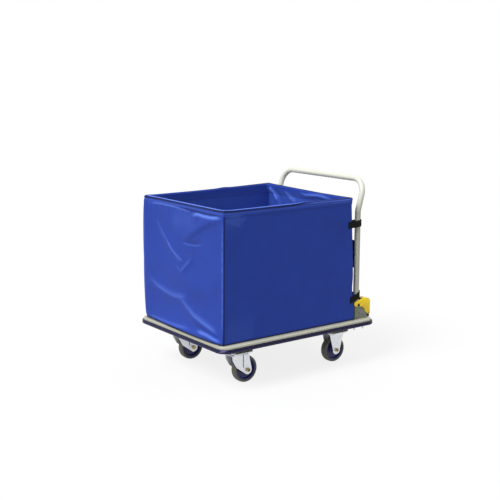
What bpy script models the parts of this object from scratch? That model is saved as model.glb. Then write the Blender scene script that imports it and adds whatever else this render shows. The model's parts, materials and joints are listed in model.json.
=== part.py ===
"""Platform hand cart with a push handle, four casters and an open fabric box strapped to it.

Lengths are in metres and +Z is up. The origin is on the floor under the middle of the deck.
+X points to the push handle. Seen by the person who pushes, the left side is at -Y.
"""

from math import cos, pi, radians, sin, tan, tau

import bmesh
import bpy
from mathutils import Vector

# Clearances and modelling values
FIT_GAP = 0.0003
OVERRUN = 0.010
WELD_DISTANCE = 0.00001
SHARP_ANGLE = radians(35)
CORNER_STEPS = 6
EDGE_STEPS = 3
FOLD_STEPS = 4
OUTLINE_STEPS = 6
FORK_END_STEPS = 10
ROUND_SIDES = 20
WHEEL_SIDES = 28
SMALL_SIDES = 12
HEX_SIDES = 6
ROUND_EDGE_SHARE = 0.5
MITRE_LIMIT_SHARE = 0.5
SIDES = (("left", -1), ("right", 1))

# Deck: a pressed sheet tray, open underneath, with a soft strip round its rim
DECK_LENGTH = 0.900
DECK_WIDTH = 0.700
DECK_DEPTH = 0.0314
DECK_SHEET = 0.0018
DECK_CORNER = 0.045
DECK_EDGE = 0.007
BUMPER_BULGE = 0.009
BUMPER_HEIGHT = 0.0185
BUMPER_DROP = 0.0119
BUMPER_PROFILE_SHARES = (
    (0.00, 1.00), (0.45, 1.00), (0.80, 0.93), (0.92, 0.78), (0.78, 0.64), (0.80, 0.58),
    (1.00, 0.42), (0.98, 0.20), (0.70, 0.04), (0.35, 0.00), (0.00, 0.00),
)

# Cross channels under the deck
CHANNEL_SHEET = 0.0025
CASTER_CHANNEL_DEPTH = 0.065
CASTER_CHANNEL_END = 0.0053
HANDLE_CHANNEL_WIDTH = 0.098
HANDLE_CHANNEL_DEPTH = 0.041
HANDLE_CHANNEL_SETBACK = 0.028
HANDLE_CHANNEL_END = 0.008

# Casters
WHEEL_RADIUS = 0.0625
WHEEL_SIDE_DISTANCE = 0.1273
FRONT_AXLE_DISTANCE = 0.2066
REAR_AXLE_DISTANCE = 0.1565
FRONT_TRAIL = 0.0406
CASTER_RISE = 0.029
PLATE_LENGTH = 0.096
PLATE_WIDTH = 0.104
PLATE_THICKNESS = 0.004
PLATE_CORNER = 0.006
PLATE_NUT_SPACING_X = 0.072
PLATE_NUT_SPACING_Y = 0.082
PLATE_NUT_RADIUS = 0.0075
PLATE_NUT_HEIGHT = 0.0065
RACE_RADIUS = 0.030
PLATE_RACE_HEIGHT = 0.006
FORK_RACE_HEIGHT = 0.003
RACE_GAP = 0.0005
KINGPIN_RADIUS = 0.006
KINGPIN_HEAD_RADIUS = 0.011
KINGPIN_HEAD_HEIGHT = 0.004
KINGPIN_TOP_RECESS = 0.001
FORK_SHEET = 0.003
FORK_TYRE_GAP = 0.009
FORK_SHOULDER = 0.006
SWIVEL_CROWN_LENGTH = 0.092
SWIVEL_END_RADIUS = 0.0215
SWIVEL_END_START = radians(222)
SWIVEL_END_STOP = radians(364)
SWIVEL_FRONT_EDGE_SHARES = ((-1.00, 1.00), (-0.95, 0.71), (-0.48, 0.25))
FIXED_CROWN_LENGTH = 0.088
FIXED_END_RADIUS = 0.0225
FIXED_END_TURN = radians(8)
FIXED_EDGE_SHARES = (0.90, 0.76)
TYRE_WIDTH = 0.036
TYRE_THICKNESS = 0.0109
TYRE_SHOULDER_SHARES = ((0.54, 1.00), (0.88, 0.80), (1.00, 0.45))
CORE_STEP = 0.0015
CORE_RIM = 0.0058
CORE_WEB = 0.012
CORE_WEB_FLARE = 0.002
HUB_RADIUS = 0.016
HUB_SIDE_GAP = 0.0008
BUSH_RADIUS = 0.009
AXLE_RADIUS = 0.005
AXLE_HEAD_RADIUS = 0.0096
AXLE_HEAD_HEIGHT = 0.0065
AXLE_NUT_HEIGHT = 0.008
AXLE_END = 0.002

# Push handle: one bent tube
TUBE_RADIUS = 0.014
TUBE_WALL = 0.0016
TUBE_RESOLUTION = 4
POST_END_DISTANCE = 0.086
POST_SIDE_DISTANCE = 0.044
POST_FOOT_DROP = 0.0185
POST_BEND_RADIUS = 0.060
POST_LEAN = radians(16)
GRIP_CORNER = 0.074
GRIP_HEIGHT = 0.893
GRIP_RISE = 0.154
LEAN_STEPS = 3
GRIP_STEPS = 7

# Plain panel clipped between the posts
PANEL_HEIGHT = 0.134
PANEL_RAISE = 0.022
PANEL_THICKNESS = 0.004
CLIP_WALL = 0.002
CLIP_HEIGHT = 0.012
CLIP_SPACING = 0.049

# Handle brackets, release levers and latch
HANDLE_PIVOT_RISE = 0.0356
LEVER_PIVOT_RISE = 0.034
BRACKET_SHEET = 0.003
BRACKET_SIDE_GAP = 0.0008
BRACKET_STOP_GAP = 0.0004
BRACKET_LENGTH = 0.0834
BRACKET_HEIGHT = 0.0613
BRACKET_STOP_HEIGHT = 0.0283
BRACKET_SHOULDER_REACH = 0.020
BRACKET_SHOULDER_ROUND_SHARE = 0.5
BRACKET_HOLE_RADIUS = 0.0022
BRACKET_HOLE_REACH = 0.030
BRACKET_HOLE_DROP = 0.0164
BRACKET_HOLE_STEP_X = 0.008
BRACKET_HOLE_STEP_Z = 0.0086
BRACKET_BOLT_SETBACK = 0.006
BRACKET_BOLT_SPACING = 0.0545
BOLT_RADIUS = 0.004
BOLT_HEAD_RADIUS = 0.0075
BOLT_HEAD_HEIGHT = 0.0055
BOLT_NUT_HEIGHT = 0.0065
BOLT_END = 0.0105
PIN_RADIUS = 0.004
PIN_CLEARANCE = 0.0003
PIVOT_HEAD_RADIUS = 0.0065
PIVOT_HEAD_HEIGHT = 0.0022
LATCH_CORNER_REACH = 0.0535
LATCH_CORNER_DROP = 0.0245
LATCH_FLANK_LENGTH = 0.012
LATCH_FLANK_ANGLE = radians(60)
LATCH_GAP = 0.0004
LEVER_SHEET = 0.0025
LEVER_SIDE_GAP = 0.0005
LEVER_BACK = 0.026
LEVER_BACK_RADIUS = 0.0125
LEVER_BACK_RISE = 0.0065
LEVER_REACH = 0.075
LEVER_RISE = 0.0295
LEVER_SLOPE_END = 0.021
LEVER_CORNER = 0.022
LEVER_LOBE_RADIUS = 0.007
LEVER_LOBE_START = radians(-135)
LEVER_LOBE_DROP = 0.0465
LEVER_HOLLOW_X = 0.010
LEVER_HOLLOW_DROP = 0.044
LEVER_HOLLOW_RADIUS = 0.0355
LEVER_HOLLOW_START = radians(84)
LEVER_HOLLOW_STOP = radians(12)
LEVER_WEB_X = 0.032
LEVER_WEB_DROP = 0.035
LEVER_BAG_CLEARANCE = 0.0034
PAWL_EYE_RADIUS = 0.0062
PAWL_EYE_STOP = radians(150)
PAWL_TOE_LENGTH = 0.0125
PAWL_FLANK_LENGTH = 0.011
PAWL_PIN_RADIUS = 0.003
PAWL_PIN_STANDOUT = 0.001
SPRING_WIRE_RADIUS = 0.0005
SPRING_TURNS = 1.75
SPRING_TURN_POINTS = 12
SPRING_LEG = 0.006

# Fabric box: stiff long sides, soft ends, a hem with a rod in it
BAG_FRONT_LEDGE = 0.022
BAG_SIDE_LEDGE = 0.0275
BAG_POST_GAP = 0.0194
BAG_FRONT_INSET = 0.004
BAG_REAR_INSET = 0.0336
BAG_HEIGHT = 0.595
BAG_END_WALL = 0.004
BAG_SIDE_WALL = 0.0065
BAG_FLOOR = 0.003
BAG_SKIN = 0.0015
HEM_HEIGHT = 0.038
HEM_THICKNESS = 0.014
HEM_ROD_RADIUS = 0.004
HEM_ROD_DROP = 0.012
HEM_ROD_CORNER = 0.020
HEM_TUNNEL_GAP = 0.0005
HEM_MOUTH_LENGTH = 0.060
HEM_ROD_RESOLUTION = 2
BOARD_THICKNESS = 0.003
BOARD_END_MARGIN = 0.012
BOARD_TOP_MARGIN = 0.006
STRAP_WIDTH = 0.032
STRAP_THICKNESS = 0.002
STRAP_PATCH_OVERLAP = 0.027
STRAP_TUCK = 0.016
UPPER_STRAP_DROP = 0.048
LOWER_STRAP_RISE = 0.046
UPPER_STRAP_SLOPE = radians(4.5)
LOWER_STRAP_SLOPE = radians(18)
STRAP_WRAP_STEPS = 8

# Places that follow from the sizes above: wheels, forks and channels
FRONT_AXLE_X = FRONT_AXLE_DISTANCE - DECK_LENGTH / 2
REAR_AXLE_X = DECK_LENGTH / 2 - REAR_AXLE_DISTANCE
SWIVEL_X = FRONT_AXLE_X - FRONT_TRAIL
WHEEL_TRACK = DECK_WIDTH - 2 * WHEEL_SIDE_DISTANCE
CORE_RADIUS = WHEEL_RADIUS - TYRE_THICKNESS - FIT_GAP
CORE_WIDTH = TYRE_WIDTH - 2 * CORE_STEP
FORK_INNER_WIDTH = TYRE_WIDTH + 2 * FORK_TYRE_GAP
FORK_OUTER_WIDTH = FORK_INNER_WIDTH + 2 * FORK_SHEET
HUB_LENGTH = FORK_INNER_WIDTH - HUB_SIDE_GAP
CASTER_HEIGHT = 2 * WHEEL_RADIUS + CASTER_RISE
PLATE_UNDERSIDE = CASTER_HEIGHT - PLATE_THICKNESS
CROWN_TOP = PLATE_UNDERSIDE - PLATE_RACE_HEIGHT - RACE_GAP - FORK_RACE_HEIGHT
CASTER_CHANNEL_BOTTOM = CASTER_HEIGHT + FIT_GAP
CASTER_CHANNEL_LENGTH = WHEEL_TRACK + PLATE_WIDTH + 2 * CASTER_CHANNEL_END
CHANNEL_TOP = CASTER_CHANNEL_BOTTOM + CASTER_CHANNEL_DEPTH

# Places on the deck
DECK_UNDERSIDE = CHANNEL_TOP + FIT_GAP
DECK_TOP = DECK_UNDERSIDE + DECK_SHEET
HANDLE_CHANNEL_BOTTOM = DECK_TOP - HANDLE_CHANNEL_DEPTH
BRACKET_BASE = DECK_TOP + FIT_GAP
BAG_BASE = DECK_TOP + FIT_GAP

# Places of the handle, its brackets and its levers
POST_X = DECK_LENGTH / 2 - POST_END_DISTANCE
POST_Y = DECK_WIDTH / 2 - POST_SIDE_DISTANCE
HANDLE_CHANNEL_X = POST_X + HANDLE_CHANNEL_SETBACK
HANDLE_CHANNEL_LENGTH = 2 * (POST_Y + HANDLE_CHANNEL_END)
HANDLE_PIVOT_Z = DECK_TOP + HANDLE_PIVOT_RISE
LEVER_PIVOT_Z = HANDLE_PIVOT_Z + LEVER_PIVOT_RISE
POST_FOOT = HANDLE_PIVOT_Z - POST_FOOT_DROP
POST_BEND_START = GRIP_HEIGHT - GRIP_RISE
BRACKET_TOP = BRACKET_BASE + BRACKET_HEIGHT
BRACKET_STOP_TOP = BRACKET_BASE + BRACKET_STOP_HEIGHT
BRACKET_FRONT = POST_X - TUBE_RADIUS - BRACKET_STOP_GAP - BRACKET_SHEET
BRACKET_REAR = BRACKET_FRONT + BRACKET_LENGTH
BRACKET_SHOULDER_X = POST_X + BRACKET_SHOULDER_REACH
BRACKET_INNER_WIDTH = 2 * (TUBE_RADIUS + BRACKET_SIDE_GAP)
BRACKET_WIDTH = BRACKET_INNER_WIDTH + 2 * BRACKET_SHEET
FRONT_BOLT_X = POST_X - BRACKET_BOLT_SETBACK
BRACKET_BOLT_X = (FRONT_BOLT_X, FRONT_BOLT_X + BRACKET_BOLT_SPACING)
LEVER_INNER_WIDTH = BRACKET_WIDTH + 2 * LEVER_SIDE_GAP
LEVER_WIDTH = LEVER_INNER_WIDTH + 2 * LEVER_SHEET
LATCH_CORNER_X = POST_X + LATCH_CORNER_REACH
LATCH_CORNER_Z = HANDLE_PIVOT_Z - LATCH_CORNER_DROP
LATCH_PIN_X = POST_X + LEVER_REACH - LEVER_LOBE_RADIUS
LATCH_PIN_Z = LEVER_PIVOT_Z - LEVER_LOBE_DROP

# Places of the box, its straps and the panel
BAG_FRONT = BAG_FRONT_LEDGE - DECK_LENGTH / 2
BAG_REAR = POST_X - BAG_POST_GAP
BAG_WIDTH = DECK_WIDTH - 2 * BAG_SIDE_LEDGE
BAG_TOP = BAG_BASE + BAG_HEIGHT
UPPER_STRAP_Z = POST_BEND_START - UPPER_STRAP_DROP
LOWER_STRAP_Z = LEVER_PIVOT_Z + LOWER_STRAP_RISE
STRAP_PLACES = (
    ("upper", UPPER_STRAP_Z, UPPER_STRAP_SLOPE), ("lower", LOWER_STRAP_Z, LOWER_STRAP_SLOPE),
)
PANEL_MIDDLE = (UPPER_STRAP_Z + LOWER_STRAP_Z) / 2 + PANEL_RAISE


# Scene and materials


def clear_scene():
    """Remove what the start-up file holds."""
    for item in list(bpy.data.objects):
        bpy.data.objects.remove(item)


def make_collection(name):
    """Return a new collection linked to the scene."""
    group = bpy.data.collections.new(name)
    bpy.context.scene.collection.children.link(group)
    return group


def make_material(name, colour, roughness, metallic):
    """Return a Principled material."""
    material = bpy.data.materials.new(name)
    material.use_nodes = True
    shader = material.node_tree.nodes["Principled BSDF"]
    shader.inputs["Base Color"].default_value = (*colour, 1)
    shader.inputs["Roughness"].default_value = roughness
    shader.inputs["Metallic"].default_value = metallic
    material.diffuse_color = (*colour, 1)
    return material


clear_scene()
PARTS = make_collection("storage_cart")
TOOLS = make_collection("shaping_solids")

CREAM = make_material("cream_paint", (0.76, 0.76, 0.66), 0.40, 0.0)
NAVY = make_material("navy_bumper", (0.03, 0.03, 0.11), 0.50, 0.0)
CHANNEL = make_material("channel_paint", (0.62, 0.62, 0.56), 0.50, 0.0)
ZINC = make_material("zinc_plate", (0.72, 0.75, 0.80), 0.32, 0.9)
YELLOW_ZINC = make_material("yellow_zinc", (0.75, 0.58, 0.25), 0.35, 0.9)
BUSH = make_material("bush_plastic", (0.55, 0.55, 0.52), 0.50, 0.0)
CORE = make_material("wheel_core_plastic", (0.02, 0.03, 0.12), 0.45, 0.0)
TYRE = make_material("tyre_rubber", (0.20, 0.21, 0.17), 0.70, 0.0)
BRACKET = make_material("bracket_paint", (0.36, 0.37, 0.33), 0.45, 0.0)
YELLOW = make_material("lever_yellow", (0.80, 0.58, 0.02), 0.40, 0.0)
BLACK = make_material("black_steel", (0.02, 0.02, 0.02), 0.45, 0.3)
SPRING = make_material("spring_steel", (0.45, 0.45, 0.45), 0.35, 1.0)
PANEL = make_material("panel_plastic", (0.02, 0.03, 0.13), 0.50, 0.0)
FABRIC = make_material("blue_coated_fabric", (0.04, 0.09, 0.45), 0.45, 0.0)
BOARD = make_material("stiffener_board", (0.30, 0.32, 0.38), 0.60, 0.0)
WEBBING = make_material("black_webbing", (0.015, 0.015, 0.018), 0.85, 0.0)


# Meshes


def tidy(mesh, smooth):
    """Weld the mesh, turn its faces outwards and shade its round faces smooth."""
    shape = bmesh.new()
    shape.from_mesh(mesh)
    bmesh.ops.remove_doubles(shape, verts=shape.verts, dist=WELD_DISTANCE)
    bmesh.ops.recalc_face_normals(shape, faces=shape.faces)
    shape.to_mesh(mesh)
    shape.free()
    if smooth:
        mesh.shade_smooth()
        mesh.set_sharp_from_angle(angle=SHARP_ANGLE)
    return mesh


def mesh_of_curve(curve, smooth):
    """Return the closed mesh that a curve makes, and remove the curve."""
    holder = bpy.data.objects.new(curve.name, curve)
    TOOLS.objects.link(holder)
    graph = bpy.context.evaluated_depsgraph_get()
    mesh = bpy.data.meshes.new_from_object(holder.evaluated_get(graph))
    bpy.data.objects.remove(holder)
    bpy.data.curves.remove(curve)
    return tidy(mesh, smooth)


def add_points(curve, points, closed):
    """Add one straight-segment spline through the points."""
    spline = curve.splines.new("POLY")
    spline.points.add(len(points) - 1)
    for target, place in zip(spline.points, points):
        target.co = (*place, 1)
    spline.use_cyclic_u = closed


def outline_mesh(outline, thickness, smooth=False):
    """Extrude a closed outline in the local XY plane to both sides of that plane."""
    curve = bpy.data.curves.new("outline", "CURVE")
    curve.dimensions = "2D"
    curve.fill_mode = "BOTH"
    curve.extrude = thickness / 2
    add_points(curve, [(u, v, 0) for u, v in outline], True)
    return mesh_of_curve(curve, smooth)


def tube_mesh(points, radius, resolution, closed=False):
    """Return a round bar along the points."""
    curve = bpy.data.curves.new("tube", "CURVE")
    curve.dimensions = "3D"
    curve.bevel_depth = radius
    curve.bevel_resolution = resolution
    curve.use_fill_caps = not closed
    add_points(curve, points, closed)
    return mesh_of_curve(curve, True)


def rod_mesh(radius, length, sides=ROUND_SIDES, turn=0.0):
    """Return a rod along local Z, centred on the origin."""
    shape = bmesh.new()
    bmesh.ops.create_cone(
        shape, cap_ends=True, segments=sides, radius1=radius, radius2=radius, depth=length
    )
    for vertex in shape.verts:
        x, y, z = vertex.co
        vertex.co = (x * cos(turn) - y * sin(turn), x * sin(turn) + y * cos(turn), z)
    mesh = bpy.data.meshes.new("rod")
    shape.to_mesh(mesh)
    shape.free()
    return tidy(mesh, sides > HEX_SIDES)


def box_mesh(size):
    """Return a box of the given size, centred on the origin."""
    shape = bmesh.new()
    bmesh.ops.create_cube(shape, size=1)
    bmesh.ops.scale(shape, vec=Vector(size), verts=shape.verts)
    mesh = bpy.data.meshes.new("box")
    shape.to_mesh(mesh)
    shape.free()
    return mesh


def profile_mesh(profile):
    """Return the closed wire that a Screw modifier turns: radius on X, height on Z."""
    mesh = bpy.data.meshes.new("profile")
    count = len(profile)
    edges = [(i, (i + 1) % count) for i in range(count)]
    mesh.from_pydata([(r, 0, h) for r, h in profile], edges, [])
    return mesh


def tray_mesh(length, width, corner, depth, edge):
    """Return a slab with round corners and a rounded upper edge, its top at local zero."""
    mesh = outline_mesh(round_rectangle(length, width, corner), depth)
    shape = bmesh.new()
    shape.from_mesh(mesh)
    top = depth / 2
    for sign in (-1, 1):
        cap = [face for face in shape.faces if round(face.normal.z) == sign]
        bmesh.ops.dissolve_faces(shape, faces=cap)
    rim = [
        line for line in shape.edges
        if all(abs(end.co.z - top) < WELD_DISTANCE for end in line.verts)
        and any(abs(face.normal.z) < WELD_DISTANCE for face in line.link_faces)
    ]
    bmesh.ops.bevel(
        shape, geom=rim, offset=edge, offset_type="OFFSET", segments=EDGE_STEPS,
        profile=ROUND_EDGE_SHARE, affect="EDGES", clamp_overlap=True,
    )
    bmesh.ops.translate(shape, verts=shape.verts, vec=(0, 0, -top))
    shape.to_mesh(mesh)
    shape.free()
    return tidy(mesh, True)


# Outlines


def arc(centre, radius, start, stop, steps):
    """Return points on a circle from one angle to another, both ends included."""
    turn = (stop - start) / steps
    return [
        (centre[0] + radius * cos(start + turn * i), centre[1] + radius * sin(start + turn * i))
        for i in range(steps + 1)
    ]


def round_rectangle(length, width, corner, centre=(0, 0)):
    """Return a rectangle with round corners, counterclockwise."""
    half_x = length / 2 - corner
    half_y = width / 2 - corner
    points = []
    for number, (sx, sy) in enumerate(((1, 1), (-1, 1), (-1, -1), (1, -1))):
        middle = (centre[0] + sx * half_x, centre[1] + sy * half_y)
        start = number * pi / 2
        points += arc(middle, corner, start, start + pi / 2, CORNER_STEPS)
    return points


# Objects


def world_place(item):
    """Return an unrotated object's place in the world."""
    place = Vector(item.location)
    while item.parent:
        item = item.parent
        place += item.location
    return place


def put(item, place, parent):
    """Place an object at a point in the world, under its parent."""
    if parent is None:
        item.location = place
    else:
        item.parent = parent
        item.location = Vector(place) - world_place(parent)


def axis_empty(name, place, parent=None):
    """Return an empty on a joint axis."""
    empty = bpy.data.objects.new(name, None)
    PARTS.objects.link(empty)
    put(empty, place, parent)
    return empty


def part(name, mesh, material, place=(0, 0, 0), parent=None, rotation=(0, 0, 0)):
    """Add one named piece of the cart."""
    mesh.name = name
    mesh.materials.append(material)
    item = bpy.data.objects.new(name, mesh)
    PARTS.objects.link(item)
    item.rotation_euler = rotation
    put(item, place, parent)
    return item


def tool(mesh, place=(0, 0, 0), parent=None, rotation=(0, 0, 0)):
    """Add a solid that only shapes other pieces."""
    item = bpy.data.objects.new("shaping_solid", mesh)
    TOOLS.objects.link(item)
    item.rotation_euler = rotation
    item.hide_render = True
    item.display_type = "WIRE"
    put(item, place, parent)
    return item


def combine(target, other, operation):
    """Cut, join or intersect a piece with another solid."""
    modifier = target.modifiers.new(operation.lower(), "BOOLEAN")
    modifier.operation = operation
    modifier.solver = "EXACT"
    modifier.object = other


def cut(target, *others):
    """Cut solids away from a piece."""
    for other in others:
        combine(target, other, "DIFFERENCE")


def join(target, *others):
    """Join solids to a piece."""
    for other in others:
        combine(target, other, "UNION")


def turn_profile(item, sides):
    """Turn an object's profile once round its local Z axis."""
    screw = item.modifiers.new("turn", "SCREW")
    screw.axis = "Z"
    screw.angle = tau
    screw.steps = sides
    screw.render_steps = sides
    screw.use_merge_vertices = True
    screw.merge_threshold = WELD_DISTANCE
    screw.use_smooth_shade = True


UPRIGHT = (pi / 2, 0, 0)
ALONG_Y = (-pi / 2, 0, 0)


def cross_hole(radius, length, x, y, z, parent=None, sides=SMALL_SIDES):
    """Return a rod-shaped tool along Y."""
    return tool(rod_mesh(radius, length, sides), (x, y, z), parent, ALONG_Y)


# Deck


def build_deck():
    """Build the pressed tray and the strip round its rim."""
    deck = part(
        "deck_platform",
        tray_mesh(DECK_LENGTH, DECK_WIDTH, DECK_CORNER, DECK_DEPTH, DECK_EDGE),
        CREAM, (0, 0, DECK_TOP),
    )
    inside = tray_mesh(
        DECK_LENGTH - 2 * DECK_SHEET, DECK_WIDTH - 2 * DECK_SHEET,
        DECK_CORNER - DECK_SHEET, DECK_DEPTH + OVERRUN, DECK_EDGE - DECK_SHEET,
    )
    cut(deck, tool(inside, (0, 0, DECK_UNDERSIDE)))
    for _, side in SIDES:
        for x in BRACKET_BOLT_X:
            hole = rod_mesh(BOLT_RADIUS + FIT_GAP, DECK_SHEET + OVERRUN, SMALL_SIDES)
            cut(deck, tool(hole, (x, side * POST_Y, DECK_TOP)))


def build_bumper():
    """Sweep the strip's two-bead profile round the deck."""
    bottom = DECK_TOP - BUMPER_DROP - BUMPER_HEIGHT
    rings = []
    for out_share, up_share in BUMPER_PROFILE_SHARES:
        offset = FIT_GAP + out_share * (BUMPER_BULGE - FIT_GAP)
        loop = round_rectangle(
            DECK_LENGTH + 2 * offset, DECK_WIDTH + 2 * offset, DECK_CORNER + offset
        )
        rings.append([(x, y, bottom + up_share * BUMPER_HEIGHT) for x, y in loop])
    count = len(rings[0])
    vertices = [point for ring in rings for point in ring]
    faces = []
    for row in range(len(rings)):
        following = (row + 1) % len(rings)
        for i in range(count):
            j = (i + 1) % count
            faces.append((row * count + i, row * count + j, following * count + j,
                          following * count + i))
    mesh = bpy.data.meshes.new("bumper")
    mesh.from_pydata(vertices, [], faces)
    part("edge_bumper", tidy(mesh, True), NAVY)


def channel_outline(width, top, bottom):
    """Return the U of a channel that is open at the top, in X and Z, centred on X zero."""
    half = width / 2
    inner = half - CHANNEL_SHEET
    floor = bottom + CHANNEL_SHEET
    return [
        (-half, bottom), (half, bottom), (half, top), (inner, top),
        (inner, floor), (-inner, floor), (-inner, top), (-half, top),
    ]


def build_channels():
    """Build the three channels that stiffen the deck."""
    rows = (
        ("front_crossmember", SWIVEL_X, PLATE_LENGTH, CASTER_CHANNEL_LENGTH,
         CASTER_CHANNEL_BOTTOM),
        ("rear_crossmember", REAR_AXLE_X, PLATE_LENGTH, CASTER_CHANNEL_LENGTH,
         CASTER_CHANNEL_BOTTOM),
        ("handle_crossmember", HANDLE_CHANNEL_X, HANDLE_CHANNEL_WIDTH, HANDLE_CHANNEL_LENGTH,
         HANDLE_CHANNEL_BOTTOM),
    )
    for name, x, width, length, bottom in rows:
        outline = channel_outline(width, CHANNEL_TOP, bottom)
        channel = part(
            name, outline_mesh(outline, length), CHANNEL, (x, 0, 0), None, UPRIGHT
        )
        if name == "handle_crossmember":
            for _, side in SIDES:
                for bolt_x in BRACKET_BOLT_X:
                    hole = rod_mesh(BOLT_RADIUS + FIT_GAP, OVERRUN, SMALL_SIDES)
                    cut(channel, tool(hole, (bolt_x, side * POST_Y, bottom)))


# Casters


def plate_nuts(target, x, y, parent):
    """Join the four nuts of a caster's top plate to its underside."""
    height = PLATE_NUT_HEIGHT + PLATE_THICKNESS / 2
    middle = PLATE_UNDERSIDE - PLATE_NUT_HEIGHT + height / 2
    for sx in (-1, 1):
        for sy in (-1, 1):
            place = (
                x + sx * PLATE_NUT_SPACING_X / 2, y + sy * PLATE_NUT_SPACING_Y / 2, middle
            )
            nut = rod_mesh(PLATE_NUT_RADIUS, height, HEX_SIDES)
            join(target, tool(nut, place, parent))


def build_wheel(prefix, place, side, axle_parent, spin_parent):
    """Build one wheel with its bush, axle bolt and nut."""
    x, y, z = place
    bore = AXLE_RADIUS + FIT_GAP
    bush_half = HUB_LENGTH / 2
    bush_profile = [
        (BUSH_RADIUS, bush_half), (BUSH_RADIUS, -bush_half), (bore, -bush_half),
        (bore, bush_half),
    ]
    bush = part(
        prefix + "_hub_bush", profile_mesh(bush_profile), BUSH, place, spin_parent, ALONG_Y
    )
    turn_profile(bush, SMALL_SIDES)
    rim = CORE_WIDTH / 2
    web = CORE_WEB / 2
    seat = BUSH_RADIUS + FIT_GAP
    rim_inside = CORE_RADIUS - CORE_RIM
    half = [
        (CORE_RADIUS, rim), (CORE_RADIUS, -rim), (rim_inside, -rim),
        (rim_inside - CORE_WEB_FLARE, -web), (HUB_RADIUS + CORE_WEB_FLARE, -web),
        (HUB_RADIUS, -bush_half), (seat, -bush_half),
    ]
    back = [(r, -h) for r, h in reversed(half[2:])]
    core = part(
        prefix + "_wheel_core", profile_mesh(half + back), CORE, place, spin_parent, ALONG_Y
    )
    turn_profile(core, WHEEL_SIDES)
    inner = CORE_RADIUS + FIT_GAP
    thickness = WHEEL_RADIUS - inner
    half_width = TYRE_WIDTH / 2
    shoulder = [
        (inner + share * thickness, width_share * half_width)
        for share, width_share in TYRE_SHOULDER_SHARES
    ]
    upper = [(inner, rim)] + shoulder
    lower = [(r, -h) for r, h in reversed(upper)]
    tyre = part(
        prefix + "_tyre", profile_mesh(upper + lower), TYRE, place, spin_parent, ALONG_Y
    )
    turn_profile(tyre, WHEEL_SIDES)

    leg = FORK_OUTER_WIDTH / 2
    outer_end = leg + FIT_GAP + AXLE_NUT_HEIGHT + AXLE_END
    head_middle = leg + FIT_GAP + AXLE_HEAD_HEIGHT / 2
    bolt = part(
        prefix + "_axle_bolt", rod_mesh(AXLE_RADIUS, outer_end + head_middle, SMALL_SIDES),
        YELLOW_ZINC, (x, y + side * (outer_end - head_middle) / 2, z), axle_parent, ALONG_Y,
    )
    join(bolt, tool(
        rod_mesh(AXLE_HEAD_RADIUS, AXLE_HEAD_HEIGHT, HEX_SIDES),
        (x, y - side * head_middle, z), axle_parent, ALONG_Y,
    ))
    nut_y = y + side * (leg + FIT_GAP + AXLE_NUT_HEIGHT / 2)
    nut = part(
        prefix + "_axle_nut", rod_mesh(AXLE_HEAD_RADIUS, AXLE_NUT_HEIGHT, HEX_SIDES),
        YELLOW_ZINC, (x, nut_y, z), axle_parent, ALONG_Y,
    )
    cut(nut, cross_hole(
        AXLE_RADIUS + FIT_GAP, AXLE_NUT_HEIGHT + OVERRUN, x, nut_y, z, axle_parent
    ))


def fork_section_mesh(length):
    """Return the folded section of a fork, an upside-down U in Y and Z, long in X."""
    outer = FORK_OUTER_WIDTH / 2
    inner = FORK_INNER_WIDTH / 2
    inner_top = CROWN_TOP - FORK_SHEET
    bend = FORK_SHOULDER - FORK_SHEET
    left = arc(
        (outer - FORK_SHOULDER, CROWN_TOP - FORK_SHOULDER), FORK_SHOULDER, 0, pi / 2, FOLD_STEPS
    )
    right = [(-u, v) for u, v in reversed(left)]
    inside = arc((inner - bend, inner_top - bend), bend, 0, pi / 2, FOLD_STEPS)
    inside_right = [(-u, v) for u, v in reversed(inside)]
    outline = [(outer, 0)] + left + right + [(-outer, 0), (-inner, 0)]
    outline += list(reversed(inside_right)) + list(reversed(inside)) + [(inner, 0)]
    return outline_mesh(outline, length)


def swivel_leg_outline():
    """Return a swivel fork's side outline, in X from the swivel axis and Z."""
    half = SWIVEL_CROWN_LENGTH / 2
    rise = CROWN_TOP - WHEEL_RADIUS
    front = [(half * sx, WHEEL_RADIUS + rise * sz) for sx, sz in SWIVEL_FRONT_EDGE_SHARES]
    end = arc(
        (FRONT_TRAIL, WHEEL_RADIUS), SWIVEL_END_RADIUS, SWIVEL_END_START, SWIVEL_END_STOP,
        FORK_END_STEPS,
    )
    top = CROWN_TOP + OVERRUN
    return [(-half, top)] + front + end + [(half, CROWN_TOP), (half, top)]


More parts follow.
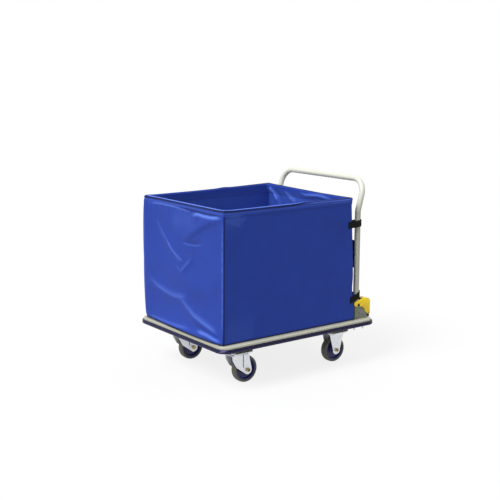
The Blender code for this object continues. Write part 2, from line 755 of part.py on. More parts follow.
def build_swivel_caster(label, side):
    """Build one front caster, which trails behind its swivel axis."""
    prefix = "front_" + label
    y = side * WHEEL_TRACK / 2
    plate = part(
        prefix + "_caster_plate",
        outline_mesh(round_rectangle(PLATE_LENGTH, PLATE_WIDTH, PLATE_CORNER), PLATE_THICKNESS),
        ZINC, (SWIVEL_X, y, CASTER_HEIGHT - PLATE_THICKNESS / 2),
    )
    race_length = PLATE_RACE_HEIGHT + PLATE_THICKNESS / 2
    race = tool(
        rod_mesh(RACE_RADIUS, race_length),
        (SWIVEL_X, y, PLATE_UNDERSIDE - PLATE_RACE_HEIGHT + race_length / 2),
    )
    join(plate, race)
    plate_nuts(plate, SWIVEL_X, y, None)
    shank = KINGPIN_RADIUS + FIT_GAP
    cut(plate, tool(rod_mesh(shank, CASTER_HEIGHT, SMALL_SIDES), (SWIVEL_X, y, CASTER_HEIGHT)))

    head_top = CROWN_TOP - FORK_SHEET - FIT_GAP
    head_bottom = head_top - KINGPIN_HEAD_HEIGHT
    pin_top = CASTER_HEIGHT - KINGPIN_TOP_RECESS
    pin_length = pin_top - head_bottom
    kingpin = part(
        prefix + "_kingpin", rod_mesh(KINGPIN_RADIUS, pin_length, SMALL_SIDES), ZINC,
        (SWIVEL_X, y, head_bottom + pin_length / 2),
    )
    join(kingpin, tool(
        rod_mesh(KINGPIN_HEAD_RADIUS, KINGPIN_HEAD_HEIGHT, SMALL_SIDES),
        (SWIVEL_X, y, head_top - KINGPIN_HEAD_HEIGHT / 2),
    ))

    swivel = axis_empty(prefix + "_swivel_axis", (SWIVEL_X, y, WHEEL_RADIUS))
    section_length = 2 * (FRONT_TRAIL + SWIVEL_END_RADIUS + OVERRUN)
    fork = part(
        prefix + "_fork", outline_mesh_along_x(section_length), ZINC, (SWIVEL_X, y, 0), swivel
    )
    legs = tool(
        outline_mesh(swivel_leg_outline(), FORK_OUTER_WIDTH + OVERRUN),
        (SWIVEL_X, y, 0), swivel, UPRIGHT,
    )
    combine(fork, legs, "INTERSECT")
    collar_length = FORK_RACE_HEIGHT + FORK_SHEET / 2
    collar = tool(
        rod_mesh(RACE_RADIUS - FORK_SHEET, collar_length),
        (SWIVEL_X, y, CROWN_TOP + FORK_RACE_HEIGHT - collar_length / 2), swivel,
    )
    join(fork, collar)
    cut(
        fork,
        tool(rod_mesh(shank, CASTER_HEIGHT, SMALL_SIDES), (SWIVEL_X, y, CASTER_HEIGHT), swivel),
        cross_hole(AXLE_RADIUS + FIT_GAP, FORK_OUTER_WIDTH + OVERRUN, FRONT_AXLE_X, y,
                   WHEEL_RADIUS, swivel),
    )
    place = (FRONT_AXLE_X, y, WHEEL_RADIUS)
    spin = axis_empty(prefix + "_wheel_axis", place, swivel)
    build_wheel(prefix, place, side, swivel, spin)


def outline_mesh_along_x(length):
    """Return the folded fork section with its length turned along X and its height along Z."""
    mesh = fork_section_mesh(length)
    for vertex in mesh.vertices:
        across, up, along = vertex.co
        vertex.co = (along, across, up)
    return tidy(mesh, False)


def build_fixed_caster(label, side):
    """Build one rear caster, whose fork and top plate are one pressing."""
    prefix = "rear_" + label
    y = side * WHEEL_TRACK / 2
    fork = part(
        prefix + "_fork",
        outline_mesh(round_rectangle(PLATE_LENGTH, PLATE_WIDTH, PLATE_CORNER), PLATE_THICKNESS),
        ZINC, (REAR_AXLE_X, y, CASTER_HEIGHT - PLATE_THICKNESS / 2),
    )
    half = FIXED_CROWN_LENGTH / 2
    top = CASTER_HEIGHT - PLATE_THICKNESS / 2
    waist_share, waist_height_share = FIXED_EDGE_SHARES
    waist = (half * waist_share, WHEEL_RADIUS + (top - WHEEL_RADIUS) * waist_height_share)
    end = arc((0, WHEEL_RADIUS), FIXED_END_RADIUS, pi - FIXED_END_TURN,
              tau + FIXED_END_TURN, FORK_END_STEPS)
    outline = [(-half, top), (-waist[0], waist[1])] + end + [waist, (half, top)]
    leg_y = (FORK_INNER_WIDTH + FORK_SHEET) / 2
    for sign in (-1, 1):
        join(fork, tool(
            outline_mesh(outline, FORK_SHEET), (REAR_AXLE_X, y + sign * leg_y, 0), None,
            UPRIGHT,
        ))
    plate_nuts(fork, REAR_AXLE_X, y, None)
    cut(fork, cross_hole(AXLE_RADIUS + FIT_GAP, FORK_OUTER_WIDTH + OVERRUN, REAR_AXLE_X, y,
                         WHEEL_RADIUS))
    place = (REAR_AXLE_X, y, WHEEL_RADIUS)
    spin = axis_empty(prefix + "_wheel_axis", place)
    build_wheel(prefix, place, side, None, spin)


# Handle


def handle_path(foot):
    """Return the handle's centre line, from one foot up, across and down to the other."""
    start = (POST_X, POST_BEND_START)
    bend = [
        (start[0] + POST_BEND_RADIUS * (1 - cos(POST_LEAN * i / LEAN_STEPS)),
         start[1] + POST_BEND_RADIUS * sin(POST_LEAN * i / LEAN_STEPS))
        for i in range(LEAN_STEPS + 1)
    ]
    lean = (GRIP_HEIGHT - bend[-1][1]) / cos(POST_LEAN)
    side = [(POST_X, -POST_Y, foot)] + [(x, -POST_Y, z) for x, z in bend]
    for i in range(GRIP_STEPS + 1):
        turn = pi / 2 * i / GRIP_STEPS
        along = lean - GRIP_CORNER + GRIP_CORNER * sin(turn)
        side.append((
            bend[-1][0] + along * sin(POST_LEAN),
            -POST_Y + GRIP_CORNER * (1 - cos(turn)),
            bend[-1][1] + along * cos(POST_LEAN),
        ))
    return side + [(x, -y, z) for x, y, z in reversed(side)]


def build_handle(fold):
    """Build the bent tube and the panel between its posts."""
    place = (POST_X, 0, HANDLE_PIVOT_Z)

    def local(points):
        return [(x - POST_X, y, z - HANDLE_PIVOT_Z) for x, y, z in points]

    tube = part(
        "handle_tube", tube_mesh(local(handle_path(POST_FOOT)), TUBE_RADIUS, TUBE_RESOLUTION),
        CREAM, place, fold,
    )
    bore = tube_mesh(
        local(handle_path(POST_FOOT - OVERRUN)), TUBE_RADIUS - TUBE_WALL, TUBE_RESOLUTION
    )
    cut(tube, tool(bore, place, fold))
    for _, side in SIDES:
        for z in (HANDLE_PIVOT_Z, LEVER_PIVOT_Z):
            cut(tube, cross_hole(
                PIN_RADIUS + PIN_CLEARANCE, 2 * TUBE_RADIUS + OVERRUN, POST_X, side * POST_Y, z,
                fold,
            ))

    clip_outer = TUBE_RADIUS + FIT_GAP + CLIP_WALL
    width = 2 * (POST_Y - TUBE_RADIUS - FIT_GAP - CLIP_WALL / 2)
    panel = part(
        "handle_panel", box_mesh((PANEL_THICKNESS, width, PANEL_HEIGHT)), PANEL,
        (POST_X, 0, PANEL_MIDDLE), fold,
    )
    for _, side in SIDES:
        y = side * POST_Y
        for step in (-1, 0, 1):
            clip = rod_mesh(clip_outer, CLIP_HEIGHT)
            join(panel, tool(clip, (POST_X, y, PANEL_MIDDLE + step * CLIP_SPACING), fold))
        bore = rod_mesh(TUBE_RADIUS + FIT_GAP, PANEL_HEIGHT + OVERRUN)
        outer_half = box_mesh((2 * TUBE_RADIUS + 2 * clip_outer, 2 * clip_outer, PANEL_HEIGHT))
        cut(
            panel,
            tool(bore, (POST_X, y, PANEL_MIDDLE), fold),
            tool(outer_half, (POST_X, y + side * clip_outer, PANEL_MIDDLE), fold),
        )


def bracket_outline():
    """Return a bracket's side outline in X and Z, with the latch notch in its rear edge."""
    flank = (cos(LATCH_FLANK_ANGLE), sin(LATCH_FLANK_ANGLE))
    toe = (sin(LATCH_FLANK_ANGLE), -cos(LATCH_FLANK_ANGLE))
    run = (BRACKET_REAR - LATCH_CORNER_X) / toe[0]
    nose = (LATCH_CORNER_X + flank[0] * LATCH_FLANK_LENGTH,
            LATCH_CORNER_Z + flank[1] * LATCH_FLANK_LENGTH)
    span_x = nose[0] - BRACKET_SHOULDER_X
    span_z = BRACKET_TOP - nose[1]
    rear = []
    for i in range(OUTLINE_STEPS - 1, 0, -1):
        share = i / OUTLINE_STEPS
        turn = share * pi / 2
        straight = (1 - share) * (1 - BRACKET_SHOULDER_ROUND_SHARE)
        height = straight + cos(turn) * BRACKET_SHOULDER_ROUND_SHARE
        rear.append((BRACKET_SHOULDER_X + span_x * sin(turn), nose[1] + span_z * height))
    return [
        (BRACKET_FRONT, BRACKET_BASE), (BRACKET_REAR, BRACKET_BASE),
        (BRACKET_REAR, LATCH_CORNER_Z + toe[1] * run), (LATCH_CORNER_X, LATCH_CORNER_Z), nose,
        *rear, (BRACKET_SHOULDER_X, BRACKET_TOP), (BRACKET_FRONT, BRACKET_TOP),
    ]


def build_bracket(label, side):
    """Build one bracket with its two bolts and the pin that the handle folds on."""
    y = side * POST_Y
    bracket = part(
        label + "_handle_bracket", outline_mesh(bracket_outline(), BRACKET_WIDTH), BRACKET,
        (0, y, 0), None, UPRIGHT,
    )
    base_top = BRACKET_BASE + BRACKET_SHEET
    hollow = [
        (BRACKET_FRONT + BRACKET_SHEET, base_top), (BRACKET_REAR + OVERRUN, base_top),
        (BRACKET_REAR + OVERRUN, BRACKET_TOP + OVERRUN),
        (BRACKET_FRONT - OVERRUN, BRACKET_TOP + OVERRUN),
        (BRACKET_FRONT - OVERRUN, BRACKET_STOP_TOP),
        (BRACKET_FRONT + BRACKET_SHEET, BRACKET_STOP_TOP),
    ]
    cut(bracket, tool(
        outline_mesh(hollow, BRACKET_INNER_WIDTH), (0, y, 0), None, UPRIGHT,
    ))
    span = BRACKET_WIDTH + OVERRUN
    cut(bracket, cross_hole(PIN_RADIUS + FIT_GAP, span, POST_X, y, HANDLE_PIVOT_Z))
    for step in (0, 1):
        cut(bracket, cross_hole(
            BRACKET_HOLE_RADIUS, span, POST_X + BRACKET_HOLE_REACH + step * BRACKET_HOLE_STEP_X,
            y, HANDLE_PIVOT_Z - BRACKET_HOLE_DROP - step * BRACKET_HOLE_STEP_Z,
        ))
    for x in BRACKET_BOLT_X:
        hole = rod_mesh(BOLT_RADIUS + FIT_GAP, BRACKET_SHEET + OVERRUN / 2, SMALL_SIDES)
        cut(bracket, tool(hole, (x, y, BRACKET_BASE)))

    head_bottom = base_top + FIT_GAP
    nut_top = HANDLE_CHANNEL_BOTTOM - FIT_GAP
    end = nut_top - BOLT_NUT_HEIGHT - BOLT_END
    shank_top = head_bottom + BOLT_HEAD_HEIGHT / 2
    for end_name, x in zip(("front", "rear"), BRACKET_BOLT_X):
        bolt = part(
            label + "_bracket_" + end_name + "_bolt",
            rod_mesh(BOLT_RADIUS, shank_top - end, SMALL_SIDES), ZINC,
            (x, y, (shank_top + end) / 2),
        )
        join(
            bolt,
            tool(rod_mesh(BOLT_HEAD_RADIUS, BOLT_HEAD_HEIGHT, HEX_SIDES),
                 (x, y, head_bottom + BOLT_HEAD_HEIGHT / 2)),
            tool(rod_mesh(BOLT_HEAD_RADIUS, BOLT_NUT_HEIGHT, HEX_SIDES),
                 (x, y, nut_top - BOLT_NUT_HEIGHT / 2)),
        )
    headed_pin(label + "_handle_pivot_pin", BRACKET_WIDTH, y, HANDLE_PIVOT_Z, None)


def headed_pin(name, grip, y, z, parent):
    """Build a rivet along Y with a head at each end, outside the pieces it holds."""
    face = grip / 2 + FIT_GAP
    pin = part(
        name, rod_mesh(PIN_RADIUS, 2 * face + PIVOT_HEAD_HEIGHT, SMALL_SIDES), ZINC,
        (POST_X, y, z), parent, ALONG_Y,
    )
    for sign in (-1, 1):
        head_y = y + sign * (face + PIVOT_HEAD_HEIGHT / 2)
        join(pin, tool(
            rod_mesh(PIVOT_HEAD_RADIUS, PIVOT_HEAD_HEIGHT, SMALL_SIDES), (POST_X, head_y, z),
            parent, ALONG_Y,
        ))


def lever_outline():
    """Return a lever's side outline in X and Z, measured from its pivot."""
    back = arc((LEVER_BACK_RADIUS - LEVER_BACK, LEVER_BACK_RISE), LEVER_BACK_RADIUS, pi / 2,
               pi + pi / 2, OUTLINE_STEPS)
    hollow = arc((LEVER_HOLLOW_X, -LEVER_HOLLOW_DROP), LEVER_HOLLOW_RADIUS, LEVER_HOLLOW_START,
                 LEVER_HOLLOW_STOP, OUTLINE_STEPS)
    lobe = arc((LEVER_REACH - LEVER_LOBE_RADIUS, -LEVER_LOBE_DROP), LEVER_LOBE_RADIUS,
               LEVER_LOBE_START, 0, OUTLINE_STEPS)
    corner = arc((LEVER_REACH - LEVER_CORNER, LEVER_RISE - LEVER_CORNER), LEVER_CORNER, 0,
                 pi / 2, OUTLINE_STEPS)
    return back + hollow + lobe + corner + [(LEVER_SLOPE_END, LEVER_RISE)]


def lever_hollow_outline():
    """Return the space between a lever's two cheeks, measured from its pivot."""
    left = -LEVER_BACK - OVERRUN
    right = LEVER_REACH + OVERRUN
    low = -LEVER_LOBE_DROP - LEVER_LOBE_RADIUS - OVERRUN
    high = LEVER_RISE + OVERRUN
    inside = arc(
        (LEVER_REACH - LEVER_CORNER, LEVER_RISE - LEVER_CORNER), LEVER_CORNER - LEVER_SHEET, 0,
        pi / 2, OUTLINE_STEPS,
    )
    return [
        (left, low), (right, low), (right, -LEVER_WEB_DROP),
        (LEVER_REACH - LEVER_SHEET, -LEVER_WEB_DROP), *inside,
        (LEVER_WEB_X, LEVER_RISE - LEVER_SHEET), (LEVER_WEB_X, high), (left, high),
    ]


def pawl_outline():
    """Return a pawl's side outline in X and Z, its corner seated in the bracket's notch."""
    flank = (cos(LATCH_FLANK_ANGLE), sin(LATCH_FLANK_ANGLE))
    toe = (sin(LATCH_FLANK_ANGLE), -cos(LATCH_FLANK_ANGLE))
    corner = (LATCH_CORNER_X + LATCH_GAP * (flank[0] + toe[0]),
              LATCH_CORNER_Z + LATCH_GAP * (flank[1] + toe[1]))
    tail = (corner[0] + toe[0] * PAWL_TOE_LENGTH, corner[1] + toe[1] * PAWL_TOE_LENGTH)
    shoulder = (corner[0] + flank[0] * PAWL_FLANK_LENGTH,
                corner[1] + flank[1] * PAWL_FLANK_LENGTH)
    eye = arc((LATCH_PIN_X, LATCH_PIN_Z), PAWL_EYE_RADIUS, 0, PAWL_EYE_STOP, OUTLINE_STEPS)
    return [corner, tail, (LATCH_PIN_X + PAWL_EYE_RADIUS, tail[1])] + eye + [shoulder]


def spring_points(side):
    """Return a lever spring's wire, measured from the lever's pivot."""
    radius = PIN_RADIUS + FIT_GAP + 2 * SPRING_WIRE_RADIUS
    near = TUBE_RADIUS + FIT_GAP + SPRING_WIRE_RADIUS
    far = LEVER_INNER_WIDTH / 2 - FIT_GAP - SPRING_WIRE_RADIUS
    count = round(SPRING_TURNS * SPRING_TURN_POINTS)
    coil = []
    for i in range(count + 1):
        turn = tau * i / SPRING_TURN_POINTS
        y = side * (near + (far - near) * i / count)
        coil.append((radius * cos(turn), y, radius * sin(turn)))
    last = tau * SPRING_TURNS
    first_leg = (coil[0][0], coil[0][1], -SPRING_LEG)
    last_leg = (coil[-1][0] - SPRING_LEG * sin(last), coil[-1][1],
                coil[-1][2] + SPRING_LEG * cos(last))
    return [first_leg] + coil + [last_leg]


def build_lever(label, side, fold):
    """Build one release lever with its pin, spring and latch pawl."""
    y = side * POST_Y
    pivot = (POST_X, y, LEVER_PIVOT_Z)
    lift = axis_empty(label + "_lever_axis", pivot, fold)
    lever = part(
        label + "_release_lever", outline_mesh(lever_outline(), LEVER_WIDTH), YELLOW, pivot,
        lift, UPRIGHT,
    )
    cut(lever, tool(
        outline_mesh(lever_hollow_outline(), LEVER_INNER_WIDTH), pivot, lift, UPRIGHT,
    ))
    inner_back = BAG_REAR + LEVER_BAG_CLEARANCE
    block = box_mesh((2 * LEVER_BACK, LEVER_WIDTH, 2 * LEVER_BACK))
    cut(lever, tool(
        block, (inner_back - LEVER_BACK, y - side * LEVER_WIDTH / 2, LEVER_PIVOT_Z), lift
    ))
    span = LEVER_WIDTH + OVERRUN
    cut(
        lever,
        cross_hole(PIN_RADIUS + PIN_CLEARANCE, span, *pivot, lift),
        cross_hole(PAWL_PIN_RADIUS + FIT_GAP, span, LATCH_PIN_X, y, LATCH_PIN_Z, lift),
    )
    pawl_width = LEVER_INNER_WIDTH - 2 * FIT_GAP
    pawl = part(
        label + "_latch_pawl", outline_mesh(pawl_outline(), pawl_width), BLACK, (0, y, 0),
        lift, UPRIGHT,
    )
    join(pawl, cross_hole(
        PAWL_PIN_RADIUS, LEVER_WIDTH + 2 * PAWL_PIN_STANDOUT, LATCH_PIN_X, y, LATCH_PIN_Z, lift,
    ))
    headed_pin(label + "_lever_pin", LEVER_WIDTH, y, LEVER_PIVOT_Z, fold)
    part(label + "_lever_spring", tube_mesh(spring_points(side), SPRING_WIRE_RADIUS, 1), SPRING,
         pivot, fold)


# Fabric box


def bag_end(z, rear):
    """Return the X of the box's outer end face at a height."""
    share = (z - BAG_BASE) / BAG_HEIGHT
    if rear:
        return BAG_REAR - BAG_REAR_INSET * share
    return BAG_FRONT + BAG_FRONT_INSET * share


def bag_section(bottom, top, front_wall, rear_wall):
    """Return the box's side section between two heights, in X and Z, less its end walls."""
    return [
        (bag_end(bottom, False) + front_wall, bottom), (bag_end(bottom, True) - rear_wall, bottom),
        (bag_end(top, True) - rear_wall, top), (bag_end(top, False) + front_wall, top),
    ]


def hem_path():
    """Return the centre line of the rod in the hem."""
    z = BAG_TOP - HEM_ROD_DROP
    inset = HEM_THICKNESS / 2
    front = bag_end(z, False) + inset
    rear = bag_end(z, True) - inset
    middle = ((front + rear) / 2, 0)
    loop = round_rectangle(rear - front, BAG_WIDTH - 2 * inset, HEM_ROD_CORNER, middle)
    return [(x, y, z) for x, y in loop]


def build_bag():
    """Build the box, the rod in its hem and the boards in its long sides."""
    bag = part(
        "bag_shell", outline_mesh(bag_section(BAG_BASE, BAG_TOP, 0, 0), BAG_WIDTH), FABRIC,
        (0, 0, 0), None, UPRIGHT,
    )
    hem_bottom = BAG_TOP - HEM_HEIGHT
    floor_top = BAG_BASE + BAG_FLOOR
    inner_width = BAG_WIDTH - 2 * BAG_SIDE_WALL
    cavity = bag_section(floor_top, hem_bottom, BAG_END_WALL, BAG_END_WALL)
    mouth = bag_section(hem_bottom - OVERRUN, BAG_TOP + OVERRUN, HEM_THICKNESS, HEM_THICKNESS)
    tunnel = tube_mesh(hem_path(), HEM_ROD_RADIUS + HEM_TUNNEL_GAP, HEM_ROD_RESOLUTION, True)
    rod_z = BAG_TOP - HEM_ROD_DROP
    slot_x = bag_end(rod_z, True) - HEM_THICKNESS
    cut(
        bag,
        tool(outline_mesh(cavity, inner_width), (0, 0, 0), None, UPRIGHT),
        tool(outline_mesh(mouth, BAG_WIDTH - 2 * HEM_THICKNESS), (0, 0, 0), None, UPRIGHT),
        tool(tunnel),
        tool(box_mesh((HEM_THICKNESS, HEM_MOUTH_LENGTH, HEM_ROD_RADIUS)), (slot_x, 0, rod_z)),
    )
    part(
        "bag_hem_frame", tube_mesh(hem_path(), HEM_ROD_RADIUS, HEM_ROD_RESOLUTION, True), ZINC
    )
    board_top = hem_bottom - BOARD_TOP_MARGIN
    board_outline = bag_section(BAG_BASE, board_top, BOARD_END_MARGIN, BOARD_END_MARGIN)
    grown = BOARD_END_MARGIN - FIT_GAP
    pocket_outline = bag_section(BAG_BASE - OVERRUN, board_top + FIT_GAP, grown, grown)
    for label, side in SIDES:
        y = side * (BAG_WIDTH / 2 - BAG_SKIN - FIT_GAP - BOARD_THICKNESS / 2)
        cut(bag, tool(
            outline_mesh(pocket_outline, BOARD_THICKNESS + 2 * FIT_GAP), (0, y, 0), None,
            UPRIGHT,
        ))
        part(
            label + "_side_board", outline_mesh(board_outline, BOARD_THICKNESS), BOARD,
            (0, y, 0), None, UPRIGHT,
        )


def strap_line(side, z, slope):
    """Return a strap's centre line in plan, from its patch round the post to the rear panel."""
    half = STRAP_THICKNESS / 2
    patch_y = BAG_WIDTH / 2 + FIT_GAP + half
    wrap = TUBE_RADIUS + FIT_GAP + half
    turn_steps = STRAP_WRAP_STEPS
    edge = bag_end(z, True)
    line = [(edge - STRAP_PATCH_OVERLAP, patch_y), (edge, patch_y)]
    line += [
        (POST_X + wrap * sin(pi * i / turn_steps), POST_Y + wrap * cos(pi * i / turn_steps))
        for i in range(turn_steps + 1)
    ]
    lowest = z - STRAP_WIDTH / 2 - tan(slope) * (POST_X + STRAP_THICKNESS - edge)
    rear_face = bag_end(lowest, True) + FIT_GAP + half
    line.append((rear_face + STRAP_TUCK / 2, POST_Y - wrap))
    line.append((rear_face, POST_Y - wrap - STRAP_TUCK / 2))
    line.append((rear_face, POST_Y - wrap - STRAP_TUCK))
    return [(x, side * y) for x, y in line]


def ribbon_outline(line, thickness):
    """Return the outline of a band of even thickness along a line, in plan."""
    near = []
    far = []
    for i, (x, y) in enumerate(line):
        before = Vector(line[max(i - 1, 0)])
        here = Vector((x, y))
        after = Vector(line[min(i + 1, len(line) - 1)])
        came = (here - before).normalized() if i > 0 else (after - here).normalized()
        goes = (after - here).normalized() if i < len(line) - 1 else came
        along = (came + goes).normalized()
        normal = Vector((-along.y, along.x))
        offset = normal * (thickness / 2 / max(along.dot(came), MITRE_LIMIT_SHARE))
        near.append((x + offset.x, y + offset.y))
        far.append((x - offset.x, y - offset.y))
    return near + far[::-1]


def build_straps():
    """Build the four straps that hold the box to the posts."""
    for label, side in SIDES:
        for level, z, slope in STRAP_PLACES:
            outline = ribbon_outline(strap_line(side, z, slope), STRAP_THICKNESS)
            mesh = outline_mesh(outline, STRAP_WIDTH)
            for vertex in mesh.vertices:
                vertex.co.z += tan(slope) * (vertex.co.x - POST_X)
            part(label + "_" + level + "_strap", mesh, WEBBING, (0, 0, z))


def main():
    """Build the cart."""
    build_deck()
    build_bumper()
    build_channels()
    for label, side in SIDES:
        build_swivel_caster(label, side)
        build_fixed_caster(label, side)
    fold = axis_empty("handle_fold_axis", (POST_X, 0, HANDLE_PIVOT_Z))
    build_handle(fold)
    for label, side in SIDES:
        build_bracket(label, side)
        build_lever(label, side, fold)
    build_bag()
    build_straps()


main()
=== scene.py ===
"""Looks of the enclosed storage cart: a blue fabric box on a wheeled deck, fitted to the CAD frame."""

import json
from math import cos, pi, radians, sin, tan

import bmesh
import bpy
import numpy as np
from bpy.props import FloatProperty, FloatVectorProperty
from bpy.types import Operator, Panel, PropertyGroup
from mathutils import Matrix, Vector

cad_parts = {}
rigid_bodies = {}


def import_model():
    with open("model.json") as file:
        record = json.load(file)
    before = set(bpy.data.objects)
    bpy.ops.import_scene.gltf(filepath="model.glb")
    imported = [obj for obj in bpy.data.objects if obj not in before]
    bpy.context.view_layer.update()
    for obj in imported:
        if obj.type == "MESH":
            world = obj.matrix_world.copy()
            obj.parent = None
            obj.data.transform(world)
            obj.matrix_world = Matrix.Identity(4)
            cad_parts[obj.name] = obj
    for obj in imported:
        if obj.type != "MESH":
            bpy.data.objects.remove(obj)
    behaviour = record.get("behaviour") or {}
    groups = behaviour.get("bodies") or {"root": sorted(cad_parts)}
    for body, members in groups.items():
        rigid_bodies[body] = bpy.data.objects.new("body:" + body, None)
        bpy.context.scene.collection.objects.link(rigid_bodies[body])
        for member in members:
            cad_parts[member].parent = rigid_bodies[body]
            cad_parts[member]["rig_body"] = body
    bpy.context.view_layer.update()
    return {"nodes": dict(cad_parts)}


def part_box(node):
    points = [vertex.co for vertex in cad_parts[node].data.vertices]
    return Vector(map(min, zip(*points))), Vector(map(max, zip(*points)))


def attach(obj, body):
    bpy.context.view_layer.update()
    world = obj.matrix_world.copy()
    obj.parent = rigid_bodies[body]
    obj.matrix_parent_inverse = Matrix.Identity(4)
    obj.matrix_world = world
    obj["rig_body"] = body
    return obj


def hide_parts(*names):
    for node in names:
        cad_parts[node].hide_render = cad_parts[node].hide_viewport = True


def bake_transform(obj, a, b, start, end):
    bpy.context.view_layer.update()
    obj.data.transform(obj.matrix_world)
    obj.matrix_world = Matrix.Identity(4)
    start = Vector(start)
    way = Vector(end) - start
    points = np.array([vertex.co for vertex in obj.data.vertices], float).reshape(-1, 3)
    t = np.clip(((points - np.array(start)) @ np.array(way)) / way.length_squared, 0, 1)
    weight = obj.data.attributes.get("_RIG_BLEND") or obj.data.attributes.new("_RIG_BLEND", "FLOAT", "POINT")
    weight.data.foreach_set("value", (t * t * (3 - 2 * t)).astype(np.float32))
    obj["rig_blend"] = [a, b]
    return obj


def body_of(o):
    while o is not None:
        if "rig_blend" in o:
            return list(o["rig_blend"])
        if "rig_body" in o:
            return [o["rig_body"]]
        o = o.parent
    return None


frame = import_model()

bl_info = {
    "name": "Enclosed Storage Cart",
    "version": (1, 0, 0),
    "blender": (4, 5, 0),
    "location": "View3D > Sidebar > Cart",
    "description": "Builds the looks of a deck cart with a fabric box, a push handle and four casters",
    "category": "Object",
}

SIDES = (("left", -1), ("right", 1))
WHEELS = ("front_left", "front_right", "rear_left", "rear_right")


def corners(node):
    """Lowest and highest corner of a CAD node at rest."""
    low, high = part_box(node)
    return np.array(low, float), np.array(high, float)


DECK_LOW, DECK_HIGH = corners("deck_platform")
STRIP_LOW, STRIP_HIGH = corners("edge_bumper")
BOX_LOW, BOX_HIGH = corners("bag_shell")
TUBE_LOW, TUBE_HIGH = corners("handle_tube")
TYRE_LOW, TYRE_HIGH = corners("front_left_tyre")
CORE_LOW, CORE_HIGH = corners("front_left_wheel_core")
NUT_LOW, NUT_HIGH = corners("front_left_axle_nut")
DECK_HALF = (DECK_HIGH - DECK_LOW) / 2
BOX_HALF = (BOX_HIGH[1] - BOX_LOW[1]) / 2
POST_X = sum(corners("left_handle_pivot_pin"))[0] / 2


def size(label, text, value):
    """A length that can be changed in the sidebar."""
    return FloatProperty(name=label, description=text, default=float(value), unit="LENGTH", precision=4)


def fraction(label, text, value):
    """A share that can be changed in the sidebar."""
    return FloatProperty(name=label, description=text, default=value, min=0, max=1, subtype="FACTOR")


def tilt(label, text, degrees):
    """An angle that can be changed in the sidebar."""
    return FloatProperty(name=label, description=text, default=radians(degrees), subtype="ANGLE")


def tint(label, text, red, green, blue):
    """A colour that can be changed in the sidebar, given as it looks on screen from 0 to 255."""
    shown = np.array((red, green, blue)) / 255
    plain = np.where(shown <= 0.04045, shown / 12.92, ((shown + 0.055) / 1.055) ** 2.4)
    return FloatVectorProperty(
        name=label, description=text, subtype="COLOR", size=4, min=0, max=1,
        default=(*(float(v) for v in plain), 1.0),
    )


class CartDeckSizes(PropertyGroup):
    """Sizes of the deck and the strip round it."""
    corner: size("Corner radius", "Plan radius of the deck's corners", 0.045)
    edge: size("Edge radius", "Radius of the fold between the deck's top and rim", 0.007)
    sheet: size("Sheet", "Thickness of the deck's steel", 0.0018)
    bulge: size("Strip bulge", "How far the strip stands out of the rim", DECK_LOW[0] - STRIP_LOW[0])


class CartBoxSizes(PropertyGroup):
    """Sizes of the fabric box."""
    corner: size("Corner radius", "Plan radius of the box's corners", 0.008)
    front_lean: size("Front lean", "How far the front wall leans in at the top", 0.004)
    rear_lean: size("Rear lean", "How far the rear wall leans in at the top", 0.0336)
    end_wall: size("End wall", "Thickness of the end walls", 0.004)
    side_wall: size("Side wall", "Thickness of a long side with its board", 0.0065)
    hem: size("Hem height", "Height of the hem that is turned over the rod", 0.038)
    hem_round: size("Hem radius", "Radius of the hem's rounded top", 0.007)
    rod_drop: size("Rod drop", "How far the rod lies below the top", 0.012)
    rod_corner: size("Hem corner", "Plan radius of the hem's inner corners, which cover the rod's bends", 0.013)
    tip: size("Corner tip", "How far the hem stands up at the corners", 0.003)
    bulge: size("Corner bulge", "How far the cloth sags out at the far front corner", 0.016)
    flare: size("Corner flare", "How far the hem stands back at the rear corners", 0.010)
    tuck: size("Strap tuck", "How far the lower straps pull the rear corners in", 0.008)
    foot: size("Front foot", "How far the foot of the front wall bulges out on the deck", 0.019)
    rise: size("Far rise", "How far the hem stands up towards the far rear corner", 0.009)
    # Painted light on the cloth's inner face.
    inside_painted_light: fraction("Inside tone", "How much lighter the cloth's inner face is", 0.18)
    cut_width: size("Cut width", "Width of the cross-shaped cut of cloth", 1.955)
    cut_length: size("Cut length", "Length of the cross-shaped cut of cloth", 2.08)


class CartHandleSizes(PropertyGroup):
    """Sizes of the push handle."""
    radius: size("Tube radius", "Radius of the handle's tube", 0.014)
    bend_start: size("Bend start", "Height at which the posts begin to lean back", 0.739)
    bend: size("Bend radius", "Radius of the bend in the posts", 0.060)
    corner: size("Corner radius", "Radius of the corners beside the grip", 0.074)
    grip: size("Grip height", "Height of the grip's centre line", 0.893)
    strap: size("Strap width", "Width of the four straps", 0.032)
    strap_thickness: size("Strap thickness", "Thickness of the four straps", 0.002)
    slack: size("Strap slack", "How far the straps stand off the posts at the back", 0.0052)
    upper_slope: tilt("Upper slope", "How much the upper straps rise towards the posts", 2.5)
    lower_slope: tilt("Lower slope", "How much the lower straps rise towards the posts", 18)


